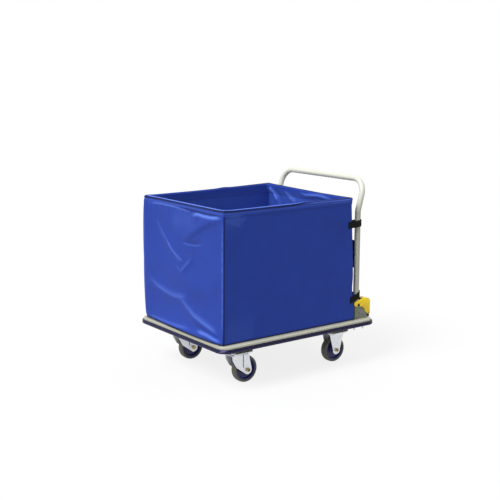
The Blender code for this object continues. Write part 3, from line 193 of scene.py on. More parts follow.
class CartCasterSizes(PropertyGroup):
    """Sizes of the wheels and their nuts."""
    radius: size("Wheel radius", "Outer radius of the tyres", (TYRE_HIGH[2] - TYRE_LOW[2]) / 2)
    tyre_width: size("Tyre width", "Width of the tyres", TYRE_HIGH[1] - TYRE_LOW[1])
    core_radius: size("Core radius", "Outer radius of the wheel cores", (CORE_HIGH[2] - CORE_LOW[2]) / 2)
    core_width: size("Core rim width", "Width of the cores at their rim", 0.033)
    rim: size("Core rim", "Thickness of the cores' rim", 0.0058)
    web: size("Core web", "Thickness of the cores' web", 0.012)
    hub: size("Hub radius", "Radius of the cores' hub", 0.016)
    bore: size("Hub bore", "Radius of the bore for the bearing", 0.0092)
    hub_length: size("Hub length", "Length of the cores' hub", CORE_HIGH[1] - CORE_LOW[1])
    nut_radius: size("Nut radius", "Radius of the axle nuts over their corners", 0.0096)
    nut_height: size("Nut height", "Height of the axle nuts", NUT_HIGH[1] - NUT_LOW[1])
    rib: size("Rib place", "How far the front forks' pressed rib stands behind the axle", -0.0256)
    axle: size("Axle radius", "Radius of the axle bolts", 0.005)


class CartColours(PropertyGroup):
    """Colours of the cart's finishes."""
    fabric: tint("Fabric", "Coated cloth of the box", 35, 60, 148)
    # Painted highlight along the cloth's folds, seams and rim lines.
    fabric_painted_light: tint("Light fabric", "The cloth where it is creased, stretched or stitched", 92, 124, 218)
    # Painted shade in the cloth's creases and tucks, along its rim, at its foot and at its corners.
    fabric_painted_shade: tint("Dark fabric", "The cloth down in its seams and tucks", 8, 14, 42)
    cream: tint("Cream paint", "Paint of the deck and handle", 180, 180, 165)
    cream_light: tint("Lit cream", "The handle's paint where it catches the light", 236, 236, 232)
    # Painted shade on the deck beside the box's foot and on its front edge, and on the handle's posts.
    cream_painted_shade: tint("Shaded cream", "The deck's paint beside the box's foot and on its front edge", 84, 84, 76)
    channel: tint("Channel paint", "Paint of the channels under the deck", 187, 187, 176)
    bracket: tint("Bracket paint", "Paint of the handle brackets", 108, 113, 102)
    yellow: tint("Lever yellow", "Paint of the release levers", 240, 205, 4)
    zinc: tint("Zinc", "Bright plating of the forks and plates", 236, 240, 245)
    # Painted shade down the front forks' pressed ribs.
    zinc_painted_shade: tint("Shaded zinc", "The plating down beside the forks' pressed ribs", 84, 96, 98)
    brass: tint("Yellow zinc", "Yellow plating of the axle nuts", 176, 156, 112)
    black: tint("Black steel", "Blackened rivets and pawls", 26, 26, 28)
    strip: tint("Edge strip", "Soft strip round the deck", 25, 20, 78)
    # Painted highlight on the strip's beads and at its near front corner.
    strip_painted_light: tint("Strip beads", "Crests of the strip's two beads", 140, 134, 214)
    # Painted shade in the strip's grooves and under it.
    strip_painted_shade: tint("Strip grooves", "Grooves of the strip", 4, 4, 12)
    core: tint("Wheel core", "Plastic of the wheel cores", 20, 26, 92)
    tyre: tint("Tyre", "Rubber of the tyres", 90, 90, 79)
    webbing: tint("Webbing", "Woven straps", 12, 12, 12)
    panel: tint("Panel", "Sheet between the posts", 28, 32, 60)
    plastic: tint("Bearing plastic", "Plastic of the bearings", 210, 208, 196)
    board: tint("Board", "Stiff boards in the long sides", 70, 66, 60)
    floor: tint("Floor", "Plain floor under the cart", 146, 146, 146)


def sizes_of(group):
    """The sizes or colours of one group, as set in the sidebar."""
    return getattr(bpy.context.scene, "cart_" + group)


# Surfaces

def bell(value, centre, width):
    """exp(-((value - centre) / width)^2): 1 at the centre, fading away on both sides."""
    return np.exp(-((value - centre) / width) ** 2)


def ramp(value, start, length):
    """Even rise from 0 at the start to 1 a length further on."""
    return np.clip((value - start) / length, 0, 1)


def quads(rows, columns, wrap=False, loop=False):
    """The quads that join neighbours in a grid; wrap joins last column to first, and loop last row to first."""
    ids = np.arange(rows * columns).reshape(rows, columns)
    if wrap:
        ids = np.hstack([ids, ids[:, :1]])
    if loop:
        ids = np.vstack([ids, ids[:1]])
    return np.stack([ids[:-1, :-1], ids[:-1, 1:], ids[1:, 1:], ids[1:, :-1]], -1).reshape(-1, 4).tolist()


def write_mesh(work, mesh):
    """Turns the faces outwards and writes them to a smooth mesh."""
    bmesh.ops.recalc_face_normals(work, faces=work.faces)
    if work.calc_volume(signed=True) < 0:
        bmesh.ops.reverse_faces(work, faces=work.faces)
    work.to_mesh(mesh)
    work.free()
    mesh.shade_smooth()


def surface(grid, loop=False, crease=40, tone=None):
    """Closed mesh over a grid of points, whose faces are turned outwards; loop joins its last row to its first.

    Equal points are merged, so that a row that shrinks to a point or a line closes there. The tone is an
    attribute with one number for every point, or one that fits the grid.
    """
    rows, columns = grid.shape[:2]
    mesh = bpy.data.meshes.new("skin")
    mesh.from_pydata(grid.reshape(-1, 3).tolist(), [], quads(rows, columns, True, loop))
    if tone is not None:
        layer = mesh.attributes.new("tone", "FLOAT", "POINT")
        layer.data.foreach_set("value", np.broadcast_to(tone, (rows, columns)).ravel().astype(np.float32))
    work = bmesh.new()
    work.from_mesh(mesh)
    bmesh.ops.remove_doubles(work, verts=work.verts, dist=1e-6)
    bmesh.ops.dissolve_degenerate(work, edges=work.edges, dist=1e-7)
    write_mesh(work, mesh)
    mesh.set_sharp_from_angle(angle=radians(crease))
    return mesh


def rounded(points, cut, steps, closed=True):
    """Points whose corners are cut back along both sides and bridged by a curve.

    Each corner P with cut points A and B gives (1-t)^2 A + 2t(1-t) P + t^2 B.
    """
    points = np.asarray(points, float)
    before = np.roll(points, 1, 0) - points
    after = np.roll(points, -1, 0) - points
    reach_before = np.linalg.norm(before, axis=1, keepdims=True)
    reach_after = np.linalg.norm(after, axis=1, keepdims=True)
    cut = np.broadcast_to(np.reshape(cut, (-1, 1)), (len(points), 1))
    start = points + before / reach_before * np.minimum(cut, reach_before * 0.48)
    end = points + after / reach_after * np.minimum(cut, reach_after * 0.48)
    t = np.linspace(0, 1, steps + 1)[None, :, None]
    curve = (1 - t) ** 2 * start[:, None] + 2 * t * (1 - t) * points[:, None] + t ** 2 * end[:, None]
    if not closed:
        return np.vstack([points[:1], curve[1:-1].reshape(-1, points.shape[1]), points[-1:]])
    return curve.reshape(-1, points.shape[1])


def carried(path, section):
    """Section of (across, up) pairs carried along a path: point = path + across * side + up * lift."""
    ahead = np.gradient(path, axis=0)
    ahead /= np.linalg.norm(ahead, axis=1, keepdims=True)
    side = np.cross(ahead[0], (1.0, 0.0, 0.0))
    sides = []
    for direction in ahead:
        side = side - direction * side.dot(direction)
        side = side / np.linalg.norm(side)
        sides.append(side)
    sides = np.array(sides)
    lifts = np.cross(sides, ahead)
    return path[:, None] + section[None, :, :1] * sides[:, None] + section[None, :, 1:] * lifts[:, None]


def capped(grid):
    """Grid whose first and last row are closed by a row that lies wholly at their middle."""
    first = np.broadcast_to(grid[:1].mean(1, keepdims=True), grid[:1].shape)
    last = np.broadcast_to(grid[-1:].mean(1, keepdims=True), grid[-1:].shape)
    return np.concatenate([first, grid, last])


def angles(steps):
    """Even steps round a circle."""
    return np.linspace(0, 2 * pi, steps, endpoint=False)


def turned(centre, profile, steps):
    """Profile of (radius, offset) pairs turned about the Y line through a point: x = r cos a, z = r sin a."""
    radius, offset = profile.T
    angle = angles(steps)[:, None]
    return np.stack([radius * np.cos(angle), 0 * angle + offset, radius * np.sin(angle)], -1) + centre


def circle(radius, steps):
    """Points of a circle as (across, up) pairs."""
    return radius * np.stack([np.cos(angles(steps)), np.sin(angles(steps))], 1)


def ring_columns(along_x, along_y, arc_steps):
    """Columns of a rounded rectangle: the two corners each lies between, its share of the way and its turn."""
    one, two, share, turn = [], [], [], []
    for k in range(4):
        arc = np.linspace(k * pi / 2, (k + 1) * pi / 2, arc_steps + 1)
        count = (along_x, along_y)[k % 2]
        one.append(np.full(len(arc) + count, k))
        two.append(np.concatenate([np.full(len(arc), k), np.full(count, (k + 1) % 4)]))
        share.append(np.concatenate([np.zeros(len(arc)), np.arange(1, count + 1) / (count + 1)]))
        turn.append(np.concatenate([arc, np.full(count, (k + 1) * pi / 2)]))
    return [np.concatenate(values) for values in (one, two, share, turn)]


def ring_grid(columns, x_low, x_high, half_width, radius, z):
    """Rounded rectangles, one a row: each point is a corner's centre, or between two, plus radius (cos a, sin a)."""
    one, two, share, turn = columns
    radius = np.minimum(radius, np.minimum((x_high - x_low) / 2, half_width))
    xs = np.stack([x_high - radius, x_low + radius, x_low + radius, x_high - radius], 1)
    ys = np.stack([half_width - radius, half_width - radius, radius - half_width, radius - half_width], 1)
    grid = np.empty((len(z), len(turn), 3))
    grid[..., 0] = xs[:, one] * (1 - share) + xs[:, two] * share + radius[:, None] * np.cos(turn)
    grid[..., 1] = ys[:, one] * (1 - share) + ys[:, two] * share + radius[:, None] * np.sin(turn)
    grid[..., 2] = z[:, None]
    return grid


def placed(name, data):
    """Adds an object to the scene."""
    thing = bpy.data.objects.new(name, data)
    bpy.context.scene.collection.objects.link(thing)
    return thing


def piece(name, mesh, finish, body, node=None):
    """Adds a mesh as a piece with its finish, the body it rides on, if one, and the CAD node it stands for."""
    mesh.name = name
    thing = placed(name, mesh)
    mesh.materials.append(FINISHES[finish])
    if body:
        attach(thing, body)
    if node:
        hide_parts(node)
    return thing


# Degrees from which an edge of a CAD node counts as sharp.
SHARP = 38


def softened(node, name, finish, edge):
    """A merged copy of a CAD node whose sharp edges are rounded, riding on the node's own body."""
    source = frame["nodes"][node]
    mesh = bpy.data.meshes.new(name)
    work = bmesh.new()
    work.from_mesh(source.data)
    bmesh.ops.transform(work, matrix=source.matrix_world, verts=work.verts)
    bmesh.ops.remove_doubles(work, verts=work.verts, dist=1e-6)
    bmesh.ops.dissolve_limit(work, angle_limit=radians(0.5), verts=work.verts, edges=work.edges)
    write_mesh(work, mesh)
    thing = piece(name, mesh, finish, body_of(source)[0], node)
    bevel = thing.modifiers.new("soft edges", "BEVEL")
    bevel.width = edge
    bevel.segments = 2
    bevel.limit_method = "ANGLE"
    bevel.angle_limit = radians(SHARP)
    bevel.harden_normals = True
    return thing


# Finishes

FINISHES = {}
# Each finish: its slot, roughness, metallic share, drift of its colour, scale of the drift, depth and scale of grain.
FINISH_RULES = {
    "fabric": ("blue_fabric", 0.46, 0, 0.05, 9, 0, 0),
    "cream": ("cream_paint", 0.32, 0, 0.025, 30, 6e-5, 900),
    "channel": ("channel_paint", 0.4, 0, 0.03, 30, 6e-5, 900),
    "bracket": ("bracket_paint", 0.42, 0, 0.05, 30, 6e-5, 900),
    "yellow": ("lever_yellow", 0.3, 0, 0.03, 30, 5e-5, 900),
    "zinc": ("zinc_plate", 0.34, 0.6, 0.06, 60, 4e-5, 1200),
    "brass": ("yellow_zinc", 0.34, 0.9, 0.12, 90, 0, 0),
    "black": ("black_steel", 0.38, 0.4, 0.15, 90, 0, 0),
    "spring": ("spring_steel", 0.35, 0.9, 0.1, 90, 0, 0),
    "strip": ("navy_bumper", 0.36, 0, 0.08, 30, 5e-5, 700),
    "core": ("wheel_core", 0.42, 0, 0.08, 30, 6e-5, 800),
    "tyre": ("tyre", 0.55, 0, 0.08, 30, 1e-4, 600),
    "webbing": ("webbing", 0.7, 0, 0.15, 60, 0, 0),
    "panel": ("panel_plastic", 0.4, 0, 0.06, 30, 6e-5, 800),
    "plastic": ("bush_plastic", 0.45, 0, 0.04, 30, 0, 0),
    "board": ("board", 0.8, 0, 0.12, 80, 0, 0),
}


def feed(tree, node, inputs):
    """Gives each named input of a node its value, or a link where the value is a socket."""
    for name, value in inputs.items():
        if isinstance(value, bpy.types.NodeSocket):
            tree.links.new(value, node.inputs[name])
        else:
            node.inputs[name].default_value = value


def feed_shader(tree, inputs):
    """Feeds a finish's main shader."""
    feed(tree, tree.nodes["Principled BSDF"], inputs)


def add_node(tree, kind, inputs=None, **settings):
    """Adds a node with its settings and what its inputs are fed."""
    node = tree.nodes.new(kind)
    for name, value in settings.items():
        setattr(node, name, value)
    feed(tree, node, inputs or {})
    return node


def new_tree(owner):
    """The node tree of a new material or sky."""
    owner.use_nodes = True
    return owner.node_tree


def add_relief(tree, height, strength, depth):
    """Leads a height into the shader's normal."""
    inputs = {"Strength": strength, "Distance": depth, "Height": height}
    relief = add_node(tree, "ShaderNodeBump", inputs).outputs[0]
    feed_shader(tree, {"Normal": relief})


def add_finish(name, colour, roughness, metallic, spread, scale, bump, grain):
    """A material whose colour and roughness drift a little over the piece, with a fine grain in its surface."""
    material = bpy.data.materials.new(name + "_finish")
    tree = new_tree(material)
    place = add_node(tree, "ShaderNodeTexCoord").outputs["Object"]
    drift = add_node(tree, "ShaderNodeTexNoise", {"Vector": place, "Scale": scale, "Detail": 4}).outputs[0]
    shades = add_node(tree, "ShaderNodeValToRGB", {0: drift})
    for end, position, factor in ((0, 0.3, 1 - spread), (1, 0.7, 1 + spread)):
        shades.color_ramp.elements[end].position = position
        shades.color_ramp.elements[end].color = (*np.minimum(np.array(colour[:3]) * factor, 1), 1)
    range_of = {"Value": drift, "To Min": roughness * 0.88, "To Max": min(1.0, roughness * 1.12)}
    wear = add_node(tree, "ShaderNodeMapRange", range_of).outputs[0]
    feed_shader(tree, {"Base Color": shades.outputs[0], "Roughness": wear, "Metallic": metallic})
    if bump:
        fine = add_node(tree, "ShaderNodeTexNoise", {"Vector": place, "Scale": grain})
        add_relief(tree, fine.outputs[0], 0.5, bump)
    FINISHES[name] = material


def add_weave(tree, pitch, depth):
    """Gives a finish the relief of a plain weave: sin(k (x + y)) * sin(k z), with k from the pitch of its threads."""
    place = add_node(tree, "ShaderNodeTexCoord").outputs["Object"]
    parts = add_node(tree, "ShaderNodeSeparateXYZ", {0: place}).outputs

    def join(kind, *values):
        return add_node(tree, "ShaderNodeMath", dict(enumerate(values)), operation=kind).outputs[0]

    across = join("ADD", parts[0], parts[1])
    waves = [join("SINE", join("MULTIPLY", value, 2 * pi / pitch)) for value in (across, parts[2])]
    add_relief(tree, join("MULTIPLY", *waves), 0.35, depth)


def add_tone(tree, light, dark):
    """Lets the piece's tone attribute lighten a finish above zero and darken it below zero: mostly painted light and
    shade.
    """
    shader = tree.nodes["Principled BSDF"]
    tone = add_node(tree, "ShaderNodeAttribute", attribute_name="tone").outputs["Fac"]
    for colour, end in ((light, 1.0), (dark, -1.0)):
        plain = shader.inputs["Base Color"].links[0].from_socket
        amount = add_node(tree, "ShaderNodeMapRange", {"Value": tone, "From Max": end}).outputs[0]
        mix = add_node(tree, "ShaderNodeMix", {0: amount, 6: plain, 7: colour}, data_type="RGBA")
        feed(tree, shader, {"Base Color": mix.outputs[2]})


def make_finishes(colours):
    """Makes every finish of the cart; the springs have the colour of zinc."""
    for name, (_, *rules) in FINISH_RULES.items():
        add_finish(name, colours.zinc if name == "spring" else getattr(colours, name), *rules)
    trees = {name: material.node_tree for name, material in FINISHES.items()}
    sheen = {"Sheen Weight": 0.03, "Sheen Roughness": 0.4, "Sheen Tint": (0.5, 0.6, 1.0, 1.0)}
    for name, gloss in (("fabric", 0.12), ("strip", 0.25), ("webbing", 0.12)):
        feed_shader(trees[name], {"Specular IOR Level": gloss})
    feed_shader(trees["fabric"], sheen)
    # Painted light and painted shade from the pieces' tone attributes.
    add_tone(trees["fabric"], colours.fabric_painted_light, colours.fabric_painted_shade)
    add_tone(trees["cream"], colours.cream_light, colours.cream_painted_shade)
    add_tone(trees["zinc"], colours.zinc, colours.zinc_painted_shade)
    add_tone(trees["strip"], colours.strip_painted_light, colours.strip_painted_shade)
    add_weave(trees["fabric"], 0.0012, 0.00015)
    add_weave(trees["webbing"], 0.0022, 0.0004)


# Deck

STRIP_PROFILE_SHARES = (
    (0, 1), (0.42, 1), (0.8, 0.94), (0.94, 0.8), (0.72, 0.66), (0.62, 0.62), (0.72, 0.57), (1, 0.4),
    (0.98, 0.2), (0.7, 0.04), (0.35, 0), (0, 0),
)


# Lines of painted highlight on the beads and painted shade in the groove and underneath:
# tone, height up it as a share, width.
STRIP_PAINTED_LINES = ((-0.9, 0.62, 0.05), (0.35, 0.45, 0.08), (0.2, 0.85, 0.06), (-0.9, 0, 0.16))
# Painted shade in the strip's recesses and a painted glint at the near front corner; STRIP_TONE darkens it all
# evenly.
STRIP_TONE, GROOVE_PAINTED_SHADE, PAINTED_GLINT_TONE = -0.45, -1.0, 1.7
GLINT_TURN = 1.25 * pi
# Painted shade: how dark the deck is beside the box, how far that reaches, and how dark its front edge is.
DECK_SHADE, DECK_SHADE_REACH, DECK_EDGE_SHADE = -0.9, 0.0035, -0.3


def deck_mesh(sizes):
    """Pressed tray: rounded rectangles that run from the top's middle over the edge, down the rim and back below.

    Row i is the outline moved in by a distance taken from a rounded side section, at that section's height.
    The top's tone beside the box is painted shade, shade * exp(-gap / reach), and its front edge has painted shade
    too.
    """
    top, bottom = DECK_HIGH[2], DECK_LOW[2]
    below = top - sizes.sheet
    outer = [(place, top) for place in (DECK_HALF[1], DECK_HALF[1] * 0.5, 0.034, 0.027, 0.02, 0.013, 0)]
    inner = [(0, bottom), (sizes.sheet, bottom), (sizes.sheet, below), (0.03, below), (DECK_HALF[1], below)]
    cuts = (0, 0, 0, 0, 0, 0, sizes.edge, sizes.sheet / 3, sizes.sheet / 3, sizes.edge - sizes.sheet, 0, 0)
    inset, level = rounded(outer + inner, np.maximum(cuts, 1e-5), 5, closed=False).T
    columns = ring_columns(24, 40, 12)
    radius = np.maximum(sizes.corner - inset, 0)
    grid = ring_grid(columns, -DECK_HALF[0] + inset, DECK_HALF[0] - inset, DECK_HALF[1] - inset, radius, level)
    x, y, z = np.moveaxis(grid, -1, 0)
    front = BOX_LOW[0] - sizes_of("box").foot * front_foot(y)
    gap = np.maximum(np.maximum(front - x, np.abs(y) - BOX_HIGH[1]), x - BOX_HIGH[0])
    tone = DECK_SHADE * np.exp(-np.maximum(gap, 0) / DECK_SHADE_REACH) * (z > top - 0.004)
    tone = tone + DECK_EDGE_SHADE * np.clip(-np.cos(columns[3]), 0, 1) * (inset[:, None] < 0.012)
    return surface(grid, tone=tone)


def strip_mesh(sizes):
    """Two-bead strip: its section's outward share grows the deck's outline, and its upward share sets the height.

    Its tone is painted shade in the grooves, painted light and shade along the lines of STRIP_PAINTED_LINES,
    and a painted glint at the near front corner.
    """
    out, up = rounded(np.array(STRIP_PROFILE_SHARES), 0.09, 3).T
    bulge = out * sizes.bulge
    z = STRIP_LOW[2] + up * (STRIP_HIGH[2] - STRIP_LOW[2])
    columns = ring_columns(12, 8, 16)
    ends = DECK_HALF[0] + bulge
    grid = ring_grid(columns, -ends, ends, DECK_HALF[1] + bulge, sizes.corner + bulge, z)
    tone = STRIP_TONE + GROOVE_PAINTED_SHADE * (out < 0.75)
    tone = tone + sum(amount * bell(up, place, width) for amount, place, width in STRIP_PAINTED_LINES)
    glint = bell(columns[3], GLINT_TURN, 0.32) * bell(up[:, None], 0.72, 0.17)
    return surface(grid, loop=True, crease=70, tone=tone[:, None] + PAINTED_GLINT_TONE * glint)


# Fabric box

# These tables are in millimetres, and this many are a metre.
MM = 1000
# Each fold: its height, its width above and below its line, and its line: across, up, across, up ...
FRONT_FOLDS = (
    (5.2, 30, 14, (-326, 782, -216, 752, -150, 725, -83, 688, -5, 645)),
    (3.6, 12, 20, (210, 700, 188, 677, 156, 647, 121, 613, 85, 579, 41, 559, -12, 540)),
    (4.5, 12, 14, (-85, 575, -68, 561, -20, 524, 20, 490)),
    (-2.4, 12, 10, (40, 642, 13, 640, -48, 637, -103, 641, -170, 655)),
    (4.2, 34, 28, (300, 430, 267, 412, 210, 387, 145, 374, 81, 366, 9, 370, -70, 384)),
    (4.6, 30, 26, (40, 375, 9, 357, -43, 328, -94, 305, -179, 284, -290, 262)),
    (6, 12, 7, (-120, 244, -145, 242, -211, 240, -260, 235, -318, 226)),
    (5, 10, 6, (320, 232, 205, 229, 121, 228, 12, 231, -76, 236, -150, 238)),
    (3, 50, 60, (320, 620, 200, 530, 0, 460, -200, 440, -320, 470)),
)
# Each line of painted highlight or painted shade: how much lighter or darker the cloth is along it, its width, and
# its points written the same way.
FRONT_PAINTED_LINES = (
    (0.95, 7, (-60, 766, -118, 778, -167, 775, -232, 776, -312, 785)),
    (-0.8, 3, (50, 794, -50, 791, -118, 789, -200, 788, -260, 790, -312, 793)),
    (0.6, 4, (300, 784, 275, 786, 190, 790, 80, 789, -25, 785, -80, 778)),
    (0.16, 4.5, (230, 720, 198, 690, 156, 651, 121, 617, 85, 583)),
    (0.5, 2.8, (140, 635, 121, 617, 85, 583, 41, 563, -10, 543)),
    (0.12, 12, (198, 680, 121, 607, 41, 553, -3, 535)),
    (0.3, 3, (-68, 563, -20, 526, 16, 496)),
    (0.25, 3.5, (55, 521, 16, 496)),
    (0.28, 3.5, (13, 634, -48, 630, -103, 634, -154, 647)),
    (-0.22, 5, (13, 644, -48, 640, -103, 644, -154, 656)),
    (0.25, 11, (290, 436, 267, 424, 210, 399, 145, 386, 81, 378, 9, 382, -53, 396)),
    (0.2, 3.5, (230, 402, 145, 380, 81, 372, 20, 372)),
    (0.3, 11, (40, 384, 9, 369, -43, 340, -94, 317, -179, 296, -290, 271)),
    (0.3, 3.5, (-43, 330, -94, 309, -179, 290, -290, 266)),
    (-0.3, 6, (-80, 292, -130, 276, -240, 258, -312, 246)),
    (0.6, 7, (-120, 250, -145, 249, -211, 248, -260, 242, -316, 232)),
    (0.25, 6, (312, 240, 205, 237, 121, 236, 12, 240, -76, 246)),
    (0.35, 5, (312, 780, 313, 545, 313, 390, 313, 240)),
    (-0.1, 8, (-300, 768, -216, 748, -150, 722, -83, 684, -5, 640)),
    (-0.07, 26, (-310, 735, -216, 722, -150, 695, -83, 660, -20, 625)),
    (-0.2, 6, (170, 650, 131, 612, 95, 578, 50, 556)),
    (-0.12, 30, (-310, 500, -200, 420, -100, 400, 0, 440)),
    (0.1, 40, (100, 720, 0, 740, -100, 750)),
)
NEAR_SEAM = (-311, 775, -307, 643, -309, 506, -311, 368, -312, 240)
REAR_FOLDS = (
    (-6, 12, 14, (300, 802, 271, 782, 242, 740, 220, 690)),
    (-5, 11, 14, (171, 793, 129, 762, 87, 749, 40, 745)),
    (-4, 10, 12, (54, 801, 6, 791, -98, 804, -200, 790)),
    (4, 14, 14, (255, 802, 225, 760, 200, 700)),
    (-4, 30, 20, (-250, 740, -100, 660, 100, 620, 250, 560)),
)
# Painted highlights along the rear wall's folds.
REAR_PAINTED_LINES = (
    (0.9, 8, (300, 802, 271, 782, 242, 740)),
    (0.6, 8, (171, 793, 129, 762, 87, 749)),
    (0.5, 7, (54, 801, 6, 791, -98, 804, -200, 790)),
)
# Painted highlights and painted shade on the near long side.
SIDE_PAINTED_LINES = (
    (0.22, 4, (-400, 786, -360, 788, -330, 786)),
    (0.2, 4, (-310, 790, -318, 772, -335, 755)),
    (0.16, 30, (-428, 780, -380, 770, -320, 760)),
    (0.12, 6, (180, 800, 250, 806, 300, 804)),
    (0.07, 70, (-428, 300, -350, 270, -250, 250)),
    (-0.1, 50, (120, 720, 220, 690, 300, 640)),
)
# How far the front wall's foot stands forward on the deck, as shares, at metres from one side to the other.
FRONT_FOOT = (
    (-0.3225, 0), (-0.308, 0.45), (-0.26, 0.8), (-0.15, 1), (-0.06, 1), (0.1, 0.8), (0.21, 0.5), (0.3225, 0.35),
)
SIDE_FOLDS = (
    (1.4, 7, 7, (-415, 768, -370, 745, -320, 732)),
    (1.1, 6, 6, (-380, 778, -330, 765, -270, 762)),
    (-1, 6, 6, (-410, 752, -360, 728, -330, 720)),
)
# How thick the hem is on its way down inside: way down, share of the rod's thickness.
HEM_SHARES = ((0, 1), (0.33, 0.97), (0.50, 0.80), (0.70, 0.45), (0.88, 0.12), (1, 0))


# Rows of the box's skin under its outer walls and on its floor, and the least radius of its inner corners.
BASE_ROWS, FLOOR_ROWS = 6, 5
INNER_CORNER = 0.0018
# How far below its top the hem ends, and how high the lower straps pull the corners in.
HEM_LINE, TUCK_HEIGHT = 0.028, 0.372


def along_line(across, up, points):
    """Signed distance of each point from a line, positive above it, and its share of the way along."""
    points = np.reshape(points, (-1, 2)) / MM
    start, step = points[:-1], np.diff(points, axis=0)
    length = np.linalg.norm(step, axis=1)
    from_start = np.stack([across[..., None] - start[:, 0], up[..., None] - start[:, 1]], -1)
    share = np.clip((from_start * step).sum(-1) / length ** 2, 0, 1)
    off = from_start - share[..., None] * step
    away = np.linalg.norm(off, axis=-1)
    nearest = away.argmin(-1)[..., None]
    upward = np.where(step[:, 0] >= 0, 1, -1)
    side = np.sign(np.take_along_axis((off[..., 1] * step[:, 0] - off[..., 0] * step[:, 1]) * upward, nearest, -1))
    run = np.concatenate([[0], np.cumsum(length)[:-1]])
    way = (run[nearest] + np.take_along_axis(share, nearest, -1) * length[nearest]) / length.sum()
    return (side * np.take_along_axis(away, nearest, -1))[..., 0], way[..., 0]


def folds(across, up, lines):
    """Relief of folds: each adds height * exp(-(distance / width)^2) * sin(pi * way)^0.6, fading at its ends."""
    total = np.zeros_like(across)
    for height, above, below, points in lines:
        off, way = along_line(across, up, points)
        width = np.where(off > 0, above, below) / MM
        total += height / MM * np.sin(pi * np.clip(way, 0, 1)) ** 0.6 * bell(off, 0, width)
    return total


def tones(across, up, lines):
    """Painted highlight and shade along lines, and the near seam: tone * exp(-(distance / width)^2), fading at the
    ends.
    """
    total = np.zeros_like(across)
    for tone, width, points in lines:
        off, way = along_line(across, up, points)
        fade = ramp(np.minimum(way, 1 - way), 0, 0.22)
        total += tone * fade * fade * (3 - 2 * fade) * bell(off, 0, width / MM)
    return total


def front_foot(y):
    """How far the front wall's foot stands forward at a place across it, as a share."""
    return np.interp(y, *np.array(FRONT_FOOT).T)


def box_section(sizes):
    """Rows of the skin: their height, how far the end and side walls lie in, corner radius, turn over the rod.

    They run from the middle of the base up the outside, over the rod in the hem, down the hem and the inside to
    the middle of the floor. The turn is 0 outside, goes to pi over the rod and stays pi inside.
    """
    low, high = BOX_LOW[2], BOX_HIGH[2]
    top = high - sizes.hem_round
    arc = np.linspace(0, pi, 13)[1:]
    hem = np.linspace(0, 1, 14)[1:]
    depth = np.interp(hem, *np.array(HEM_SHARES).T)
    foot = np.array([(0.004, 0.0), (0.0015, 0.0015), (0.0003, 0.004)])
    rise = np.concatenate([np.linspace(low + 0.007, top - 0.036, 101), np.linspace(top - 0.036, top, 20)[1:]])
    down = np.linspace(high - sizes.hem - 0.014, low + 0.009, 44)
    floor = np.array([(0.001, 0.005), (0.004, 0.0035), (0.05, 0.003), (0.2, 0.003)])
    z = np.concatenate([
        np.full(3, low), low + foot[:, 1], rise, top + sizes.hem_round * np.sin(arc),
        top - hem * (sizes.hem + 0.010 - sizes.hem_round), down, low + floor[:, 1], [low + 0.003],
    ])

    def inset(wall):
        taper = wall + (2 * sizes.hem_round - wall) * depth
        return np.concatenate([
            [BOX_HALF, 0.2, 0.05], foot[:, 0], 0 * rise, sizes.hem_round * (1 - np.cos(arc)), taper,
            np.full(len(down), wall), wall + floor[:, 0], [BOX_HALF],
        ])

    end, wall = inset(sizes.end_wall), inset(sizes.side_wall)
    outside = BASE_ROWS + len(rise)
    over = np.concatenate([np.zeros(outside), arc, np.full(len(z) - outside - len(arc), pi)])
    radius = np.maximum(sizes.corner - wall, INNER_CORNER)
    start = np.concatenate([0 * arc + sizes.corner, 0 * hem + INNER_CORNER])
    rounding = np.concatenate([np.linspace(0, 1, len(arc)), depth])
    radius[outside:outside + len(start)] = start + (sizes.rod_corner - start) * rounding
    return z, end, wall, radius, over


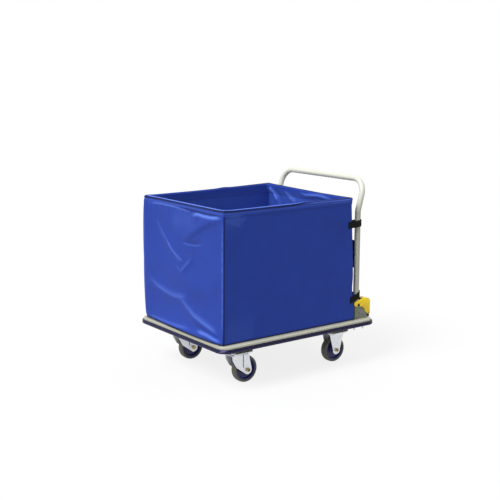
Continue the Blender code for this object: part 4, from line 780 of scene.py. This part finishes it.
def box_mesh(sizes):
    """One closed skin of cloth, outside and inside: every row is a rounded rectangle at one height.

    Folds, ripples and the hem move its points along their wall's outward direction. Then formulas of the place
    add the sagging corner, the foot, the flared hem, the straps' tucks and the corners that stand up.
    """
    low, high = BOX_LOW[2], BOX_HIGH[2]
    top = high - sizes.hem_round
    z, end, wall, radius, over = box_section(sizes)
    share = (z - low) / (high - low)
    x_low = BOX_LOW[0] + sizes.front_lean * share + end
    x_high = BOX_HIGH[0] - sizes.rear_lean * share - end
    columns = ring_columns(80, 138, 6)
    grid = ring_grid(columns, x_low, x_high, BOX_HALF - wall, radius, z)
    out = np.stack([np.cos(columns[3]), np.sin(columns[3])], 1)
    x, y, height = np.moveaxis(grid.copy(), -1, 0)
    over = over[:, None]
    outer = over == 0
    skin = 0.5 + 0.5 * np.cos(over)
    order = np.arange(len(z))[:, None]
    walls = (order >= BASE_ROWS) & (order < len(z) - FLOOR_ROWS)
    live = walls * (ramp(z, low, 0.012) * ramp(high - 0.006 - z, 0, 0.016))[:, None]
    at_front, at_rear = np.clip(-out[:, 0], 0, 1), np.clip(out[:, 0], 0, 1)
    edge = ramp(BOX_HALF - np.abs(y), 0, 0.016) ** 0.7

    # Folds, with broad swells in the walls and fine ripples that hang from the front hem.
    swell = 0.002 * np.sin(pi * share)[:, None]
    hang = 0.0006 * np.exp(-np.maximum(0.787 - height, 0) / 0.025) * (height < 0.789)
    front = folds(y, height, FRONT_FOLDS) + np.sin(7 * y + 0.6) * swell + np.sin(y * 150 + 2 * np.sin(y * 21)) * hang
    rear = folds(y, height, REAR_FOLDS) + np.sin(9 * y) * swell
    side = folds(x, height, SIDE_FOLDS) + 0.0003 * np.sin(x * 23 + height * 9)
    field = (front * at_front * edge + rear * at_rear * edge + side * np.abs(out[:, 1])) * live
    field = np.where(~outer & (height > high - 0.022), np.minimum(field, 0.0004), field)

    # The hem is thicker, with a ridge at its lower edge and a groove beside the rod.
    hem = 0.0012 * (height > high - HEM_LINE) + 0.0010 * bell(height, high - HEM_LINE, 0.002)
    hem = hem - 0.0022 * bell(height, high - sizes.rod_drop, 0.0022)
    hem = hem * (height < top) + 0.0010 * (height >= top - 0.006)
    field = field + np.where(outer & (order >= BASE_ROWS), hem, 0)
    grid[..., :2] += field[..., None] * out

    # The far front corner sags out.
    belly = np.clip(np.sin(pi * ramp(height - low - 0.01, 0, high - low - 0.03) ** 0.8), 0, 1) ** 0.5
    far = sizes.bulge * ramp(y, 0.10, BOX_HALF - 0.10) ** 2 * belly
    grid[..., 0] -= far * (1 - ramp(x, BOX_LOW[0], 0.12)) ** 2
    grid[..., 1] += 0.5 * far * (1 - ramp(x, BOX_LOW[0], 0.25)) ** 2

    # The front wall's foot stands forward on the deck.
    on_foot = front_foot(y) * np.exp(-(height - low) / 0.032) * (order >= 2) * outer
    grid[..., 0] -= sizes.foot * on_foot * (1 - ramp(x, BOX_LOW[0], 0.06))

    # The hem stands back at the rear corners and forward at the far front one.
    flare = ramp(height, high - 0.045, 0.045) ** 2 * ramp(np.abs(y), 0.22, 0.10) ** 2
    grid[..., 0] += sizes.flare * flare * ramp(x, 0.20, 0.10) * skin
    ahead = ramp(height, high - 0.30, 0.30) * ramp(y, 0.18, 0.14) ** 2
    grid[..., 0] -= 1.3 * sizes.flare * ahead * ramp(-x, 0.34, 0.08) * skin

    # The lower straps pull the rear corners in.
    tuck = bell(height, TUCK_HEIGHT, 0.045) * ramp(np.abs(y), 0.2, 0.12)
    grid[..., 0] -= sizes.tuck * tuck * (1 - ramp(x_high[:, None] - x, 0, 0.06))

    # The hem stands up at its corners and towards the far rear one.
    reach = np.hypot(np.minimum(np.abs(x - BOX_LOW[0]), np.abs(x - x_high.min())), BOX_HALF - np.abs(y))
    lift = ramp(height, high - sizes.hem, sizes.hem)
    grid[..., 2] += sizes.tip * bell(reach, 0, 0.03) * lift
    grid[..., 2] += sizes.rise * lift * ramp(x, -0.2, 0.55) ** 1.5 * ramp(y, -0.1, 0.42)
    return surface(grid, crease=70, tone=box_tone(sizes, x, y, height, out, over))


def box_tone(sizes, x, y, height, out, over):
    """Painted light and shade on the cloth: creases, seams, rim lines, and painted shade at the foot and corners.

    Lines on the rim lie at a turn over the rod. The front and near rims have a painted highlight crest, which fades
    towards the rear, and painted shade in the tuck outside it. The others have one line of painted shade.
    """
    low, high = BOX_LOW[2], BOX_HIGH[2]
    outer = over == 0
    at_front, at_rear, near = (np.clip(value, 0, 1) for value in (-out[:, 0], out[:, 0], -out[:, 1]))
    tone = tones(y, height, FRONT_PAINTED_LINES) * at_front * outer + tones(y, height, REAR_PAINTED_LINES) * at_rear * ~outer
    # The near seam's line: partly its dotted stitching, partly painted highlight.
    stitch = 0.35 + 0.12 * np.sin(height * 105) + 0.12 * np.sin(height * 170 + 1)
    tone = tone + stitch * tones(y, height, ((1.0, 3.5, NEAR_SEAM),)) * at_front * outer
    tone = tone + tones(x, height, SIDE_PAINTED_LINES) * near * outer + sizes.inside_painted_light * ~outer
    seen = (1 - at_rear) * (y < BOX_HALF - 0.012)
    to_front = ramp(-x, -0.08, 0.13)
    # Painted highlight on the front and near rims' crest, painted shade in the tuck beside it and along the far rims.
    crest = bell(over, 0.43 * pi, 0.15 * pi) * to_front
    far_shade_line = bell(over, 0.60 * pi, 0.15 * pi) * np.maximum(ramp(x, -0.25, 0.5), 0.3)
    tuck = bell(over, (0.32 - 0.22 * to_front) * pi, 0.14 * pi) * (over > 0)
    tuck = np.maximum(tuck, bell(height, high - sizes.hem_round, 0.0014) * outer * to_front)
    tuck = tuck * (0.85 + 0.15 * np.sin(17 * x + 11 * y))
    tone = tone + (1.2 * crest - 1.4 * tuck) * seen - 1.4 * far_shade_line * (1 - seen)
    away = np.maximum(at_rear, (y > 0.2) * (1 - at_front)) * ~outer
    # Each level line of painted highlight or painted shade: its tone, how far it lies below the top, its width and
    # where it shows.
    for amount, drop, width, where in (
        (0.6, 0.0088, 0.0020, (1 - to_front) * near * outer), (-0.45, 0.0125, 0.0014, at_front * outer),
        (0.22, 0.0165, 0.0025, outer), (0.24, 0.036, 0.009, away), (-0.16, 0.012, 0.010, away),
    ):
        tone = tone + amount * bell(height, high - drop, width) * where
    # Painted shade at the cloth's foot, round its corners and down the near front corner.
    dark = 1.2 * bell(height, low, 0.0045) + 0.25 * (np.abs(out[:, 0] * out[:, 1]) > 0.3)
    corner = (out[:, 0] < -0.05) & (out[:, 0] > -0.9) & (out[:, 1] < 0)
    return tone - (dark + 0.55 * corner * (height < high - 0.03)) * outer


# Handle

TUBE_WALL = 0.0016
POST_LEAN = radians(16)
# How far the straps stand off the post, the rear wall and the long side.
POST_GAP, WALL_GAP, SIDE_GAP = 0.0003, 0.0006, 0.0002
# Painted light on the grip and painted shade on the posts.
GRIP_PAINTED_LIGHT, POST_PAINTED_SHADE = 0.26, -0.22


def handle_path(sizes):
    """Centre line of the tube: a post, its bend, the leaning part, a corner, the grip, and the same mirrored."""
    post_y = TUBE_HIGH[1] - sizes.radius
    turn = np.linspace(0, POST_LEAN, 9)
    bend = np.stack([POST_X + sizes.bend * (1 - np.cos(turn)), sizes.bend_start + sizes.bend * np.sin(turn)], 1)
    run = (sizes.grip - bend[-1, 1]) / cos(POST_LEAN)
    corner = np.linspace(0, pi / 2, 13)
    along = run - sizes.corner + sizes.corner * np.sin(corner)
    foot = np.linspace(TUBE_LOW[2], sizes.bend_start, 10)[:-1]
    side = np.concatenate([
        np.stack([np.full(9, POST_X), np.full(9, -post_y), foot], 1),
        np.stack([bend[:, 0], np.full(9, -post_y), bend[:, 1]], 1),
        np.stack([bend[-1, 0] + along * sin(POST_LEAN), -post_y + sizes.corner * (1 - np.cos(corner)),
                  bend[-1, 1] + along * cos(POST_LEAN)], 1),
    ])
    grip = np.linspace(side[-1, 1], -side[-1, 1], 8)[1:-1]
    bar = np.stack([np.full(6, side[-1, 0]), grip, np.full(6, side[-1, 2])], 1)
    return np.concatenate([side, bar, side[::-1] * (1, -1, 1)])


def tube_mesh(sizes):
    """Open-ended tube: circles of the outer and the inner radius carried along the handle's centre line.

    Its tone goes from painted shade on the posts to painted light on the grip over 60 mm of height above the bend's
    start.
    """
    path = handle_path(sizes)
    rings = [carried(path, circle(radius, 40)) for radius in (sizes.radius, sizes.radius - TUBE_WALL)]
    grid = np.concatenate([rings[0], rings[1][::-1]])
    lit = ramp(grid[..., 2], sizes.bend_start, 0.06)
    tone = GRIP_PAINTED_LIGHT * lit + POST_PAINTED_SHADE * (1 - lit)
    return surface(grid, loop=True, crease=50, tone=tone)


def strap_path(sizes, side, node, slope):
    """Centre line of a strap: its patch on the long side, round the post, and in to the rear wall.

    In plan it is straight, then half a circle round the post that stands off by slack * sin(a)^2 at the
    back, then a curve in to the wall. Its height is that at the post plus tan(slope) times the way behind it.
    """
    post_y = TUBE_HIGH[1] - sizes.radius
    half = sizes.strap_thickness / 2
    low, _ = corners(node)
    level = low[2] + sizes.strap / 2 - tan(slope) * (low[0] - POST_X)
    wrap = sizes.radius + half + POST_GAP
    turn = np.linspace(0, pi, 25)
    share = (level - BOX_LOW[2]) / (BOX_HIGH[2] - BOX_LOW[2])
    face = BOX_HIGH[0] - sizes_of("box").rear_lean * share + half + WALL_GAP + sizes.strap * sin(slope)
    patch = BOX_HIGH[1] + half + SIDE_GAP
    loose = wrap + sizes.slack * np.clip(np.sin(turn), 0, 1) ** 2
    around = np.stack([POST_X + loose * np.sin(turn), post_y + wrap * np.cos(turn)], 1)
    start = [(x, patch) for x in np.linspace(low[0], POST_X - 0.012, 6)]
    end = [(face + 0.012, post_y - wrap), (face + 0.004, post_y - wrap - 0.003), (face, post_y - wrap - 0.010),
           (face, post_y - wrap - 0.016)]
    plan = np.concatenate([start, around, end])
    return np.stack([plan[:, 0], side * plan[:, 1], level + tan(slope) * (plan[:, 0] - POST_X)], 1)


def strap_mesh(path, sizes):
    """Band: a thin rounded rectangle, its width upright at every point of the path, stands across it in plan."""
    half, thin = sizes.strap / 2, sizes.strap_thickness / 2
    section = rounded([(thin, half), (thin, -half), (-thin, -half), (-thin, half)], thin * 0.8, 3)
    ahead = np.gradient(path[:, :2], axis=0)
    ahead /= np.linalg.norm(ahead, axis=1, keepdims=True)
    grid = np.repeat(path[:, None], len(section), axis=1)
    grid[..., 0] += section[:, 0] * ahead[:, 1:]
    grid[..., 1] -= section[:, 0] * ahead[:, :1]
    grid[..., 2] += section[:, 1]
    return surface(capped(grid), crease=60)


# Casters

# Half sizes of a fork's rib along and across its cheek.
RIB_LENGTH, RIB_HEIGHT = 0.0020, 0.0016


def wheel_ring(centre, half, cut, curve, steps):
    """Ring turned about the axle from half of its profile and that half mirrored, with rounded corners."""
    profile = rounded(half + [(radius, -offset) for radius, offset in half[::-1]], cut, curve)
    return surface(turned(centre, profile, steps), loop=True, crease=60)


def tyre_mesh(centre, sizes):
    """Tyre: a rounded profile from the core's rim over the shoulders to the tread, turned about the axle."""
    inner = sizes.core_radius + 0.0003
    deep, half = sizes.radius - inner, sizes.tyre_width / 2
    upper = [(inner, sizes.core_width / 2), (inner + 0.2 * deep, half * 0.97), (inner + 0.54 * deep, half),
             (inner + 0.88 * deep, 0.8 * half), (inner + deep, 0.42 * half)]
    return wheel_ring(centre, upper, 0.003, 4, 128)


def core_mesh(centre, sizes):
    """Core: rim, flared web and hub, turned about the axle."""
    rim, web, hub = sizes.core_width / 2, sizes.web / 2, sizes.hub_length / 2
    inside = sizes.core_radius - sizes.rim
    half = [(sizes.core_radius, rim), (inside, rim), (inside - 0.004, web), (sizes.hub + 0.004, web),
            (sizes.hub, web + 0.005), (sizes.hub - 0.001, hub), (sizes.bore, hub)]
    return wheel_ring(centre, half, 0.0016, 3, 96)


def nut_mesh(centre, side, sizes):
    """Hexagon nut with the bolt's end: radius = the lesser of a hexagon's and a cone's, over rows along the axle."""
    angle = angles(72)
    flat = sizes.nut_radius * cos(pi / 6)
    hexagon = flat / np.cos((angle + pi / 6) % (pi / 3) - pi / 6)
    height, axle = sizes.nut_height, sizes.axle
    rows = np.array([
        (0, 0), (0, 0.003), (0, flat * 0.98), (height * 0.12, sizes.nut_radius), (height * 0.82, sizes.nut_radius),
        (height, flat * 0.94), (height, axle * 1.25), (height * 0.9, axle * 1.05), (height * 0.9, axle),
        (height + 0.0014, axle), (height + 0.002, axle * 0.8), (height + 0.002, 0),
    ])
    radius = np.minimum(hexagon[None], rows[:, 1:])
    along = np.broadcast_to(side * (rows[:, :1] - height / 2), radius.shape)
    grid = np.stack([radius * np.cos(angle), along, radius * np.sin(angle)], -1) + centre
    return surface(grid, crease=25)


def rib_mesh(x, y, low, high):
    """Pressed rib: a flat ellipse carried up the fork's cheek, its size shrinking at both ends by a sine.

    Its tone is -1 down both flanks: painted shade, as dark as the plating beside a pressed edge.
    """
    share = np.linspace(0, 1, 25)
    path = np.stack([np.full(25, x), np.full(25, y), low + share * (high - low)], 1)
    angle = angles(16)
    swell = np.clip(np.sin(pi * share) * 4, 0.05, 1)[:, None]
    grid = np.repeat(path[:, None], len(angle), axis=1)
    grid[..., 0] += RIB_LENGTH * swell * np.cos(angle)
    grid[..., 1] += RIB_HEIGHT * swell * np.sin(angle)
    return surface(capped(grid), crease=60, tone=-1.0 * (np.cos(angle) < 0.4)[None])


# Operators

# The pieces of a wheel: name, function, finish and CAD node.
WHEEL_PIECES = (("_rubber", tyre_mesh, "tyre", "_tyre"), ("_core", core_mesh, "core", "_wheel_core"))
# Each piece at both brackets: its CAD node, its name, its finish and the radius of its edges.
HANDLE_PIECES = (
    ("handle_bracket", "bracket", "bracket", 0.0007), ("release_lever", "lever", "yellow", 0.0008),
    ("latch_pawl", "pawl", "black", 0.0004), ("handle_pivot_pin", "pivot_rivet", "bracket", 0.0008),
    ("lever_pin", "lever_rivet", "black", 0.0008), ("bracket_front_bolt", "front_bolt", "zinc", 0.0005),
    ("bracket_rear_bolt", "rear_bolt", "zinc", 0.0005),
)


class CART_OT_finishes(Operator):
    """Makes the finishes and puts them on the CAD nodes that stay"""
    bl_idname = "cart.finishes"
    bl_label = "Make the finishes"

    def execute(self, context):
        make_finishes(sizes_of("colours"))
        by_slot = {rules[0]: FINISHES[name] for name, rules in FINISH_RULES.items()}
        for node in frame["nodes"].values():
            for entry in node.material_slots:
                label = entry.material.name.split(".")[0] if entry.material else ""
                if label in by_slot:
                    entry.material = by_slot[label]
        return {"FINISHED"}


class CART_OT_deck(Operator):
    """Builds the deck, its edge strip and the channels under it"""
    bl_idname = "cart.deck"
    bl_label = "Build the deck"

    def execute(self, context):
        sizes = sizes_of("deck")
        piece("deck", deck_mesh(sizes), "cream", "chassis", "deck_platform")
        piece("edge_strip", strip_mesh(sizes), "strip", "chassis", "edge_bumper")
        for name in ("front", "rear", "handle"):
            softened(name + "_crossmember", name + "_channel", "channel", 0.0006)
        return {"FINISHED"}


class CART_OT_box(Operator):
    """Builds the fabric box"""
    bl_idname = "cart.box"
    bl_label = "Build the fabric box"

    def execute(self, context):
        sizes = sizes_of("box")
        box = piece("fabric_box", box_mesh(sizes), "fabric", "chassis", "bag_shell")
        return {"FINISHED"}


class CART_OT_handle(Operator):
    """Builds the push handle, its panel, brackets and release levers"""
    bl_idname = "cart.handle"
    bl_label = "Build the handle"

    def execute(self, context):
        piece("push_handle_tube", tube_mesh(sizes_of("handle")), "cream", "push_handle", "handle_tube")
        softened("handle_panel", "post_panel", "panel", 0.0006)
        for label, _ in SIDES:
            for node, name, finish, edge in HANDLE_PIECES:
                softened(label + "_" + node, label + "_" + name, finish, edge)
        return {"FINISHED"}


class CART_OT_straps(Operator):
    """Builds the four straps that hold the box to the posts"""
    bl_idname = "cart.straps"
    bl_label = "Build the straps"

    def execute(self, context):
        sizes = sizes_of("handle")
        for label, side in SIDES:
            for level, slope in (("upper", sizes.upper_slope), ("lower", sizes.lower_slope)):
                node = label + "_" + level + "_strap"
                path = strap_path(sizes, side, node, slope)
                strap = piece(label + "_" + level + "_band", strap_mesh(path, sizes), "webbing", None, node)
                at_wall = (path[-1][0] + 0.002, path[0][1], path[0][2])
                at_post = (POST_X - sizes.radius + 0.002, path[0][1], path[0][2])
                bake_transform(strap, "chassis", "push_handle", at_wall, at_post)
        return {"FINISHED"}


class CART_OT_casters(Operator):
    """Builds the four casters"""
    bl_idname = "cart.casters"
    bl_label = "Build the casters"

    def execute(self, context):
        sizes = sizes_of("casters")
        for wheel in WHEELS:
            low, high = corners(wheel + "_tyre")
            centre = (low + high) / 2
            for name, make, finish, node in WHEEL_PIECES:
                piece(wheel + name, make(centre, sizes), finish, wheel + "_wheel", wheel + node)
            low, high = corners(wheel + "_axle_nut")
            side = 1 if centre[1] > 0 else -1
            body = body_of(frame["nodes"][wheel + "_axle_nut"])[0]
            piece(wheel + "_nut", nut_mesh((low + high) / 2, side, sizes), "brass", body, wheel + "_axle_nut")
            softened(wheel + "_axle_bolt", wheel + "_axle", "brass", 0.0005)
            softened(wheel + "_fork", wheel + "_pressed_fork", "zinc", 0.0008)
            if wheel.startswith("front"):
                softened(wheel + "_caster_plate", wheel + "_top_plate", "zinc", 0.0006)
                low, high = corners(wheel + "_fork")
                for place, cheek in (("outer", low[1]), ("inner", high[1])):
                    rib = rib_mesh(centre[0] + sizes.rib, cheek, centre[2] + 0.012, high[2] - 0.005)
                    piece(wheel + "_" + place + "_rib", rib, "zinc", wheel + "_swivel")
        return {"FINISHED"}


class CART_OT_stage(Operator):
    """Sets the floor, the light and the camera"""
    bl_idname = "cart.stage"
    bl_label = "Set the stage"

    def execute(self, context):
        set_stage(sizes_of("colours"))
        return {"FINISHED"}


def show(tree, lighting, seen, output):
    """Gives one shader to the rays that light the cart, and another to those seen directly or in metal or glass."""
    path = add_node(tree, "ShaderNodeLightPath").outputs
    direct = path["Is Camera Ray"]
    for name in ("Is Glossy Ray", "Is Transmission Ray"):
        direct = add_node(tree, "ShaderNodeMath", {0: direct, 1: path[name]}, operation="MAXIMUM").outputs[0]
    mix = add_node(tree, "ShaderNodeMixShader", {0: direct, 1: lighting.outputs[0], 2: seen.outputs[0]})
    feed(tree, tree.nodes[output], {"Surface": mix.outputs[0]})


def set_stage(colours):
    """Pale floor, one broad sun, a pale sky and the camera that fits the photograph."""
    reach = np.linspace(-12, 12, 25)
    grid = np.stack([*np.meshgrid(reach, reach), np.zeros((25, 25))], -1)
    mesh = bpy.data.meshes.new("floor")
    mesh.from_pydata(grid.reshape(-1, 3).tolist(), [], quads(25, 25))
    placed("floor", mesh)
    material = bpy.data.materials.new("floor_finish")
    mesh.materials.append(material)
    tree = new_tree(material)
    feed_shader(tree, {"Base Color": colours.floor, "Roughness": 0.9, "Specular IOR Level": 0.0})
    faint = add_node(tree, "ShaderNodeBsdfDiffuse", {"Color": (0.12, 0.12, 0.12, 1.0)})
    glow = add_node(tree, "ShaderNodeEmission", {"Strength": 0.82})
    both = add_node(tree, "ShaderNodeAddShader", {0: faint.outputs[0], 1: glow.outputs[0]})
    show(tree, tree.nodes["Principled BSDF"], both, "Material Output")

    sky = bpy.data.worlds.new("studio")
    bpy.context.scene.world = sky
    tree = new_tree(sky)
    soft = tree.nodes["Background"]
    feed(tree, soft, {"Strength": 0.78, "Color": (1, 1, 1, 1)})
    show(tree, soft, add_node(tree, "ShaderNodeBackground", {"Color": (1, 1, 1, 1)}), "World Output")

    lamp = bpy.data.lights.new("window", "SUN")
    lamp.energy = 3.42
    lamp.angle = radians(32)
    placed("window", lamp).rotation_euler = Vector((-0.67, -0.09, 0.737)).to_track_quat("Z", "Y").to_euler()

    lens = bpy.data.cameras.new("camera")
    lens.lens = 70.99
    lens.sensor_width = 36
    lens.sensor_fit = "HORIZONTAL"
    camera = placed("camera", lens)
    yaw, pitch, roll = radians(36.675), radians(10.788), radians(0.146)
    ahead = Vector((sin(yaw) * cos(pitch), cos(yaw) * cos(pitch), -sin(pitch)))
    right = Vector((cos(yaw), -sin(yaw), 0))
    above = right.cross(ahead)
    right, above = right * cos(roll) + above * sin(roll), above * cos(roll) - right * sin(roll)
    turn = Matrix((right, above, -ahead)).transposed().to_4x4()
    camera.matrix_world = Matrix.Translation((-2.8107, -3.7132, 1.4386)) @ turn
    bpy.context.scene.camera = camera
    bpy.context.scene.view_settings.view_transform = "Standard"


class CART_PT_build(Panel):
    """Lists the steps that build the cart"""
    bl_idname = "CART_PT_build"
    bl_label = "Storage cart"
    bl_space_type = "VIEW_3D"
    bl_region_type = "UI"
    bl_category = "Cart"

    def draw(self, context):
        for step in STEPS:
            self.layout.operator(step.bl_idname)
        for group in GROUPS:
            column = self.layout.column(align=True)
            for name in GROUPS[group].__annotations__:
                column.prop(getattr(context.scene, "cart_" + group), name)


GROUPS = {
    "deck": CartDeckSizes, "box": CartBoxSizes, "handle": CartHandleSizes, "casters": CartCasterSizes,
    "colours": CartColours,
}
STEPS = (
    CART_OT_finishes, CART_OT_deck, CART_OT_box, CART_OT_handle, CART_OT_straps, CART_OT_casters, CART_OT_stage,
)


def register():
    """Registers the settings, the steps and the sidebar's panel."""
    for group, kind in GROUPS.items():
        bpy.utils.register_class(kind)
        setattr(bpy.types.Scene, "cart_" + group, bpy.props.PointerProperty(type=kind))
    for kind in (*STEPS, CART_PT_build):
        bpy.utils.register_class(kind)


def unregister():
    """Takes away what register() added."""
    for kind in (CART_PT_build, *reversed(STEPS)):
        bpy.utils.unregister_class(kind)
    for group, kind in GROUPS.items():
        delattr(bpy.types.Scene, "cart_" + group)
        bpy.utils.unregister_class(kind)


def main():
    """Builds the cart step by step."""
    register()
    for step in STEPS:
        group, name = step.bl_idname.split(".")
        getattr(getattr(bpy.ops, group), name)()


if __name__ == "__main__":
    main()
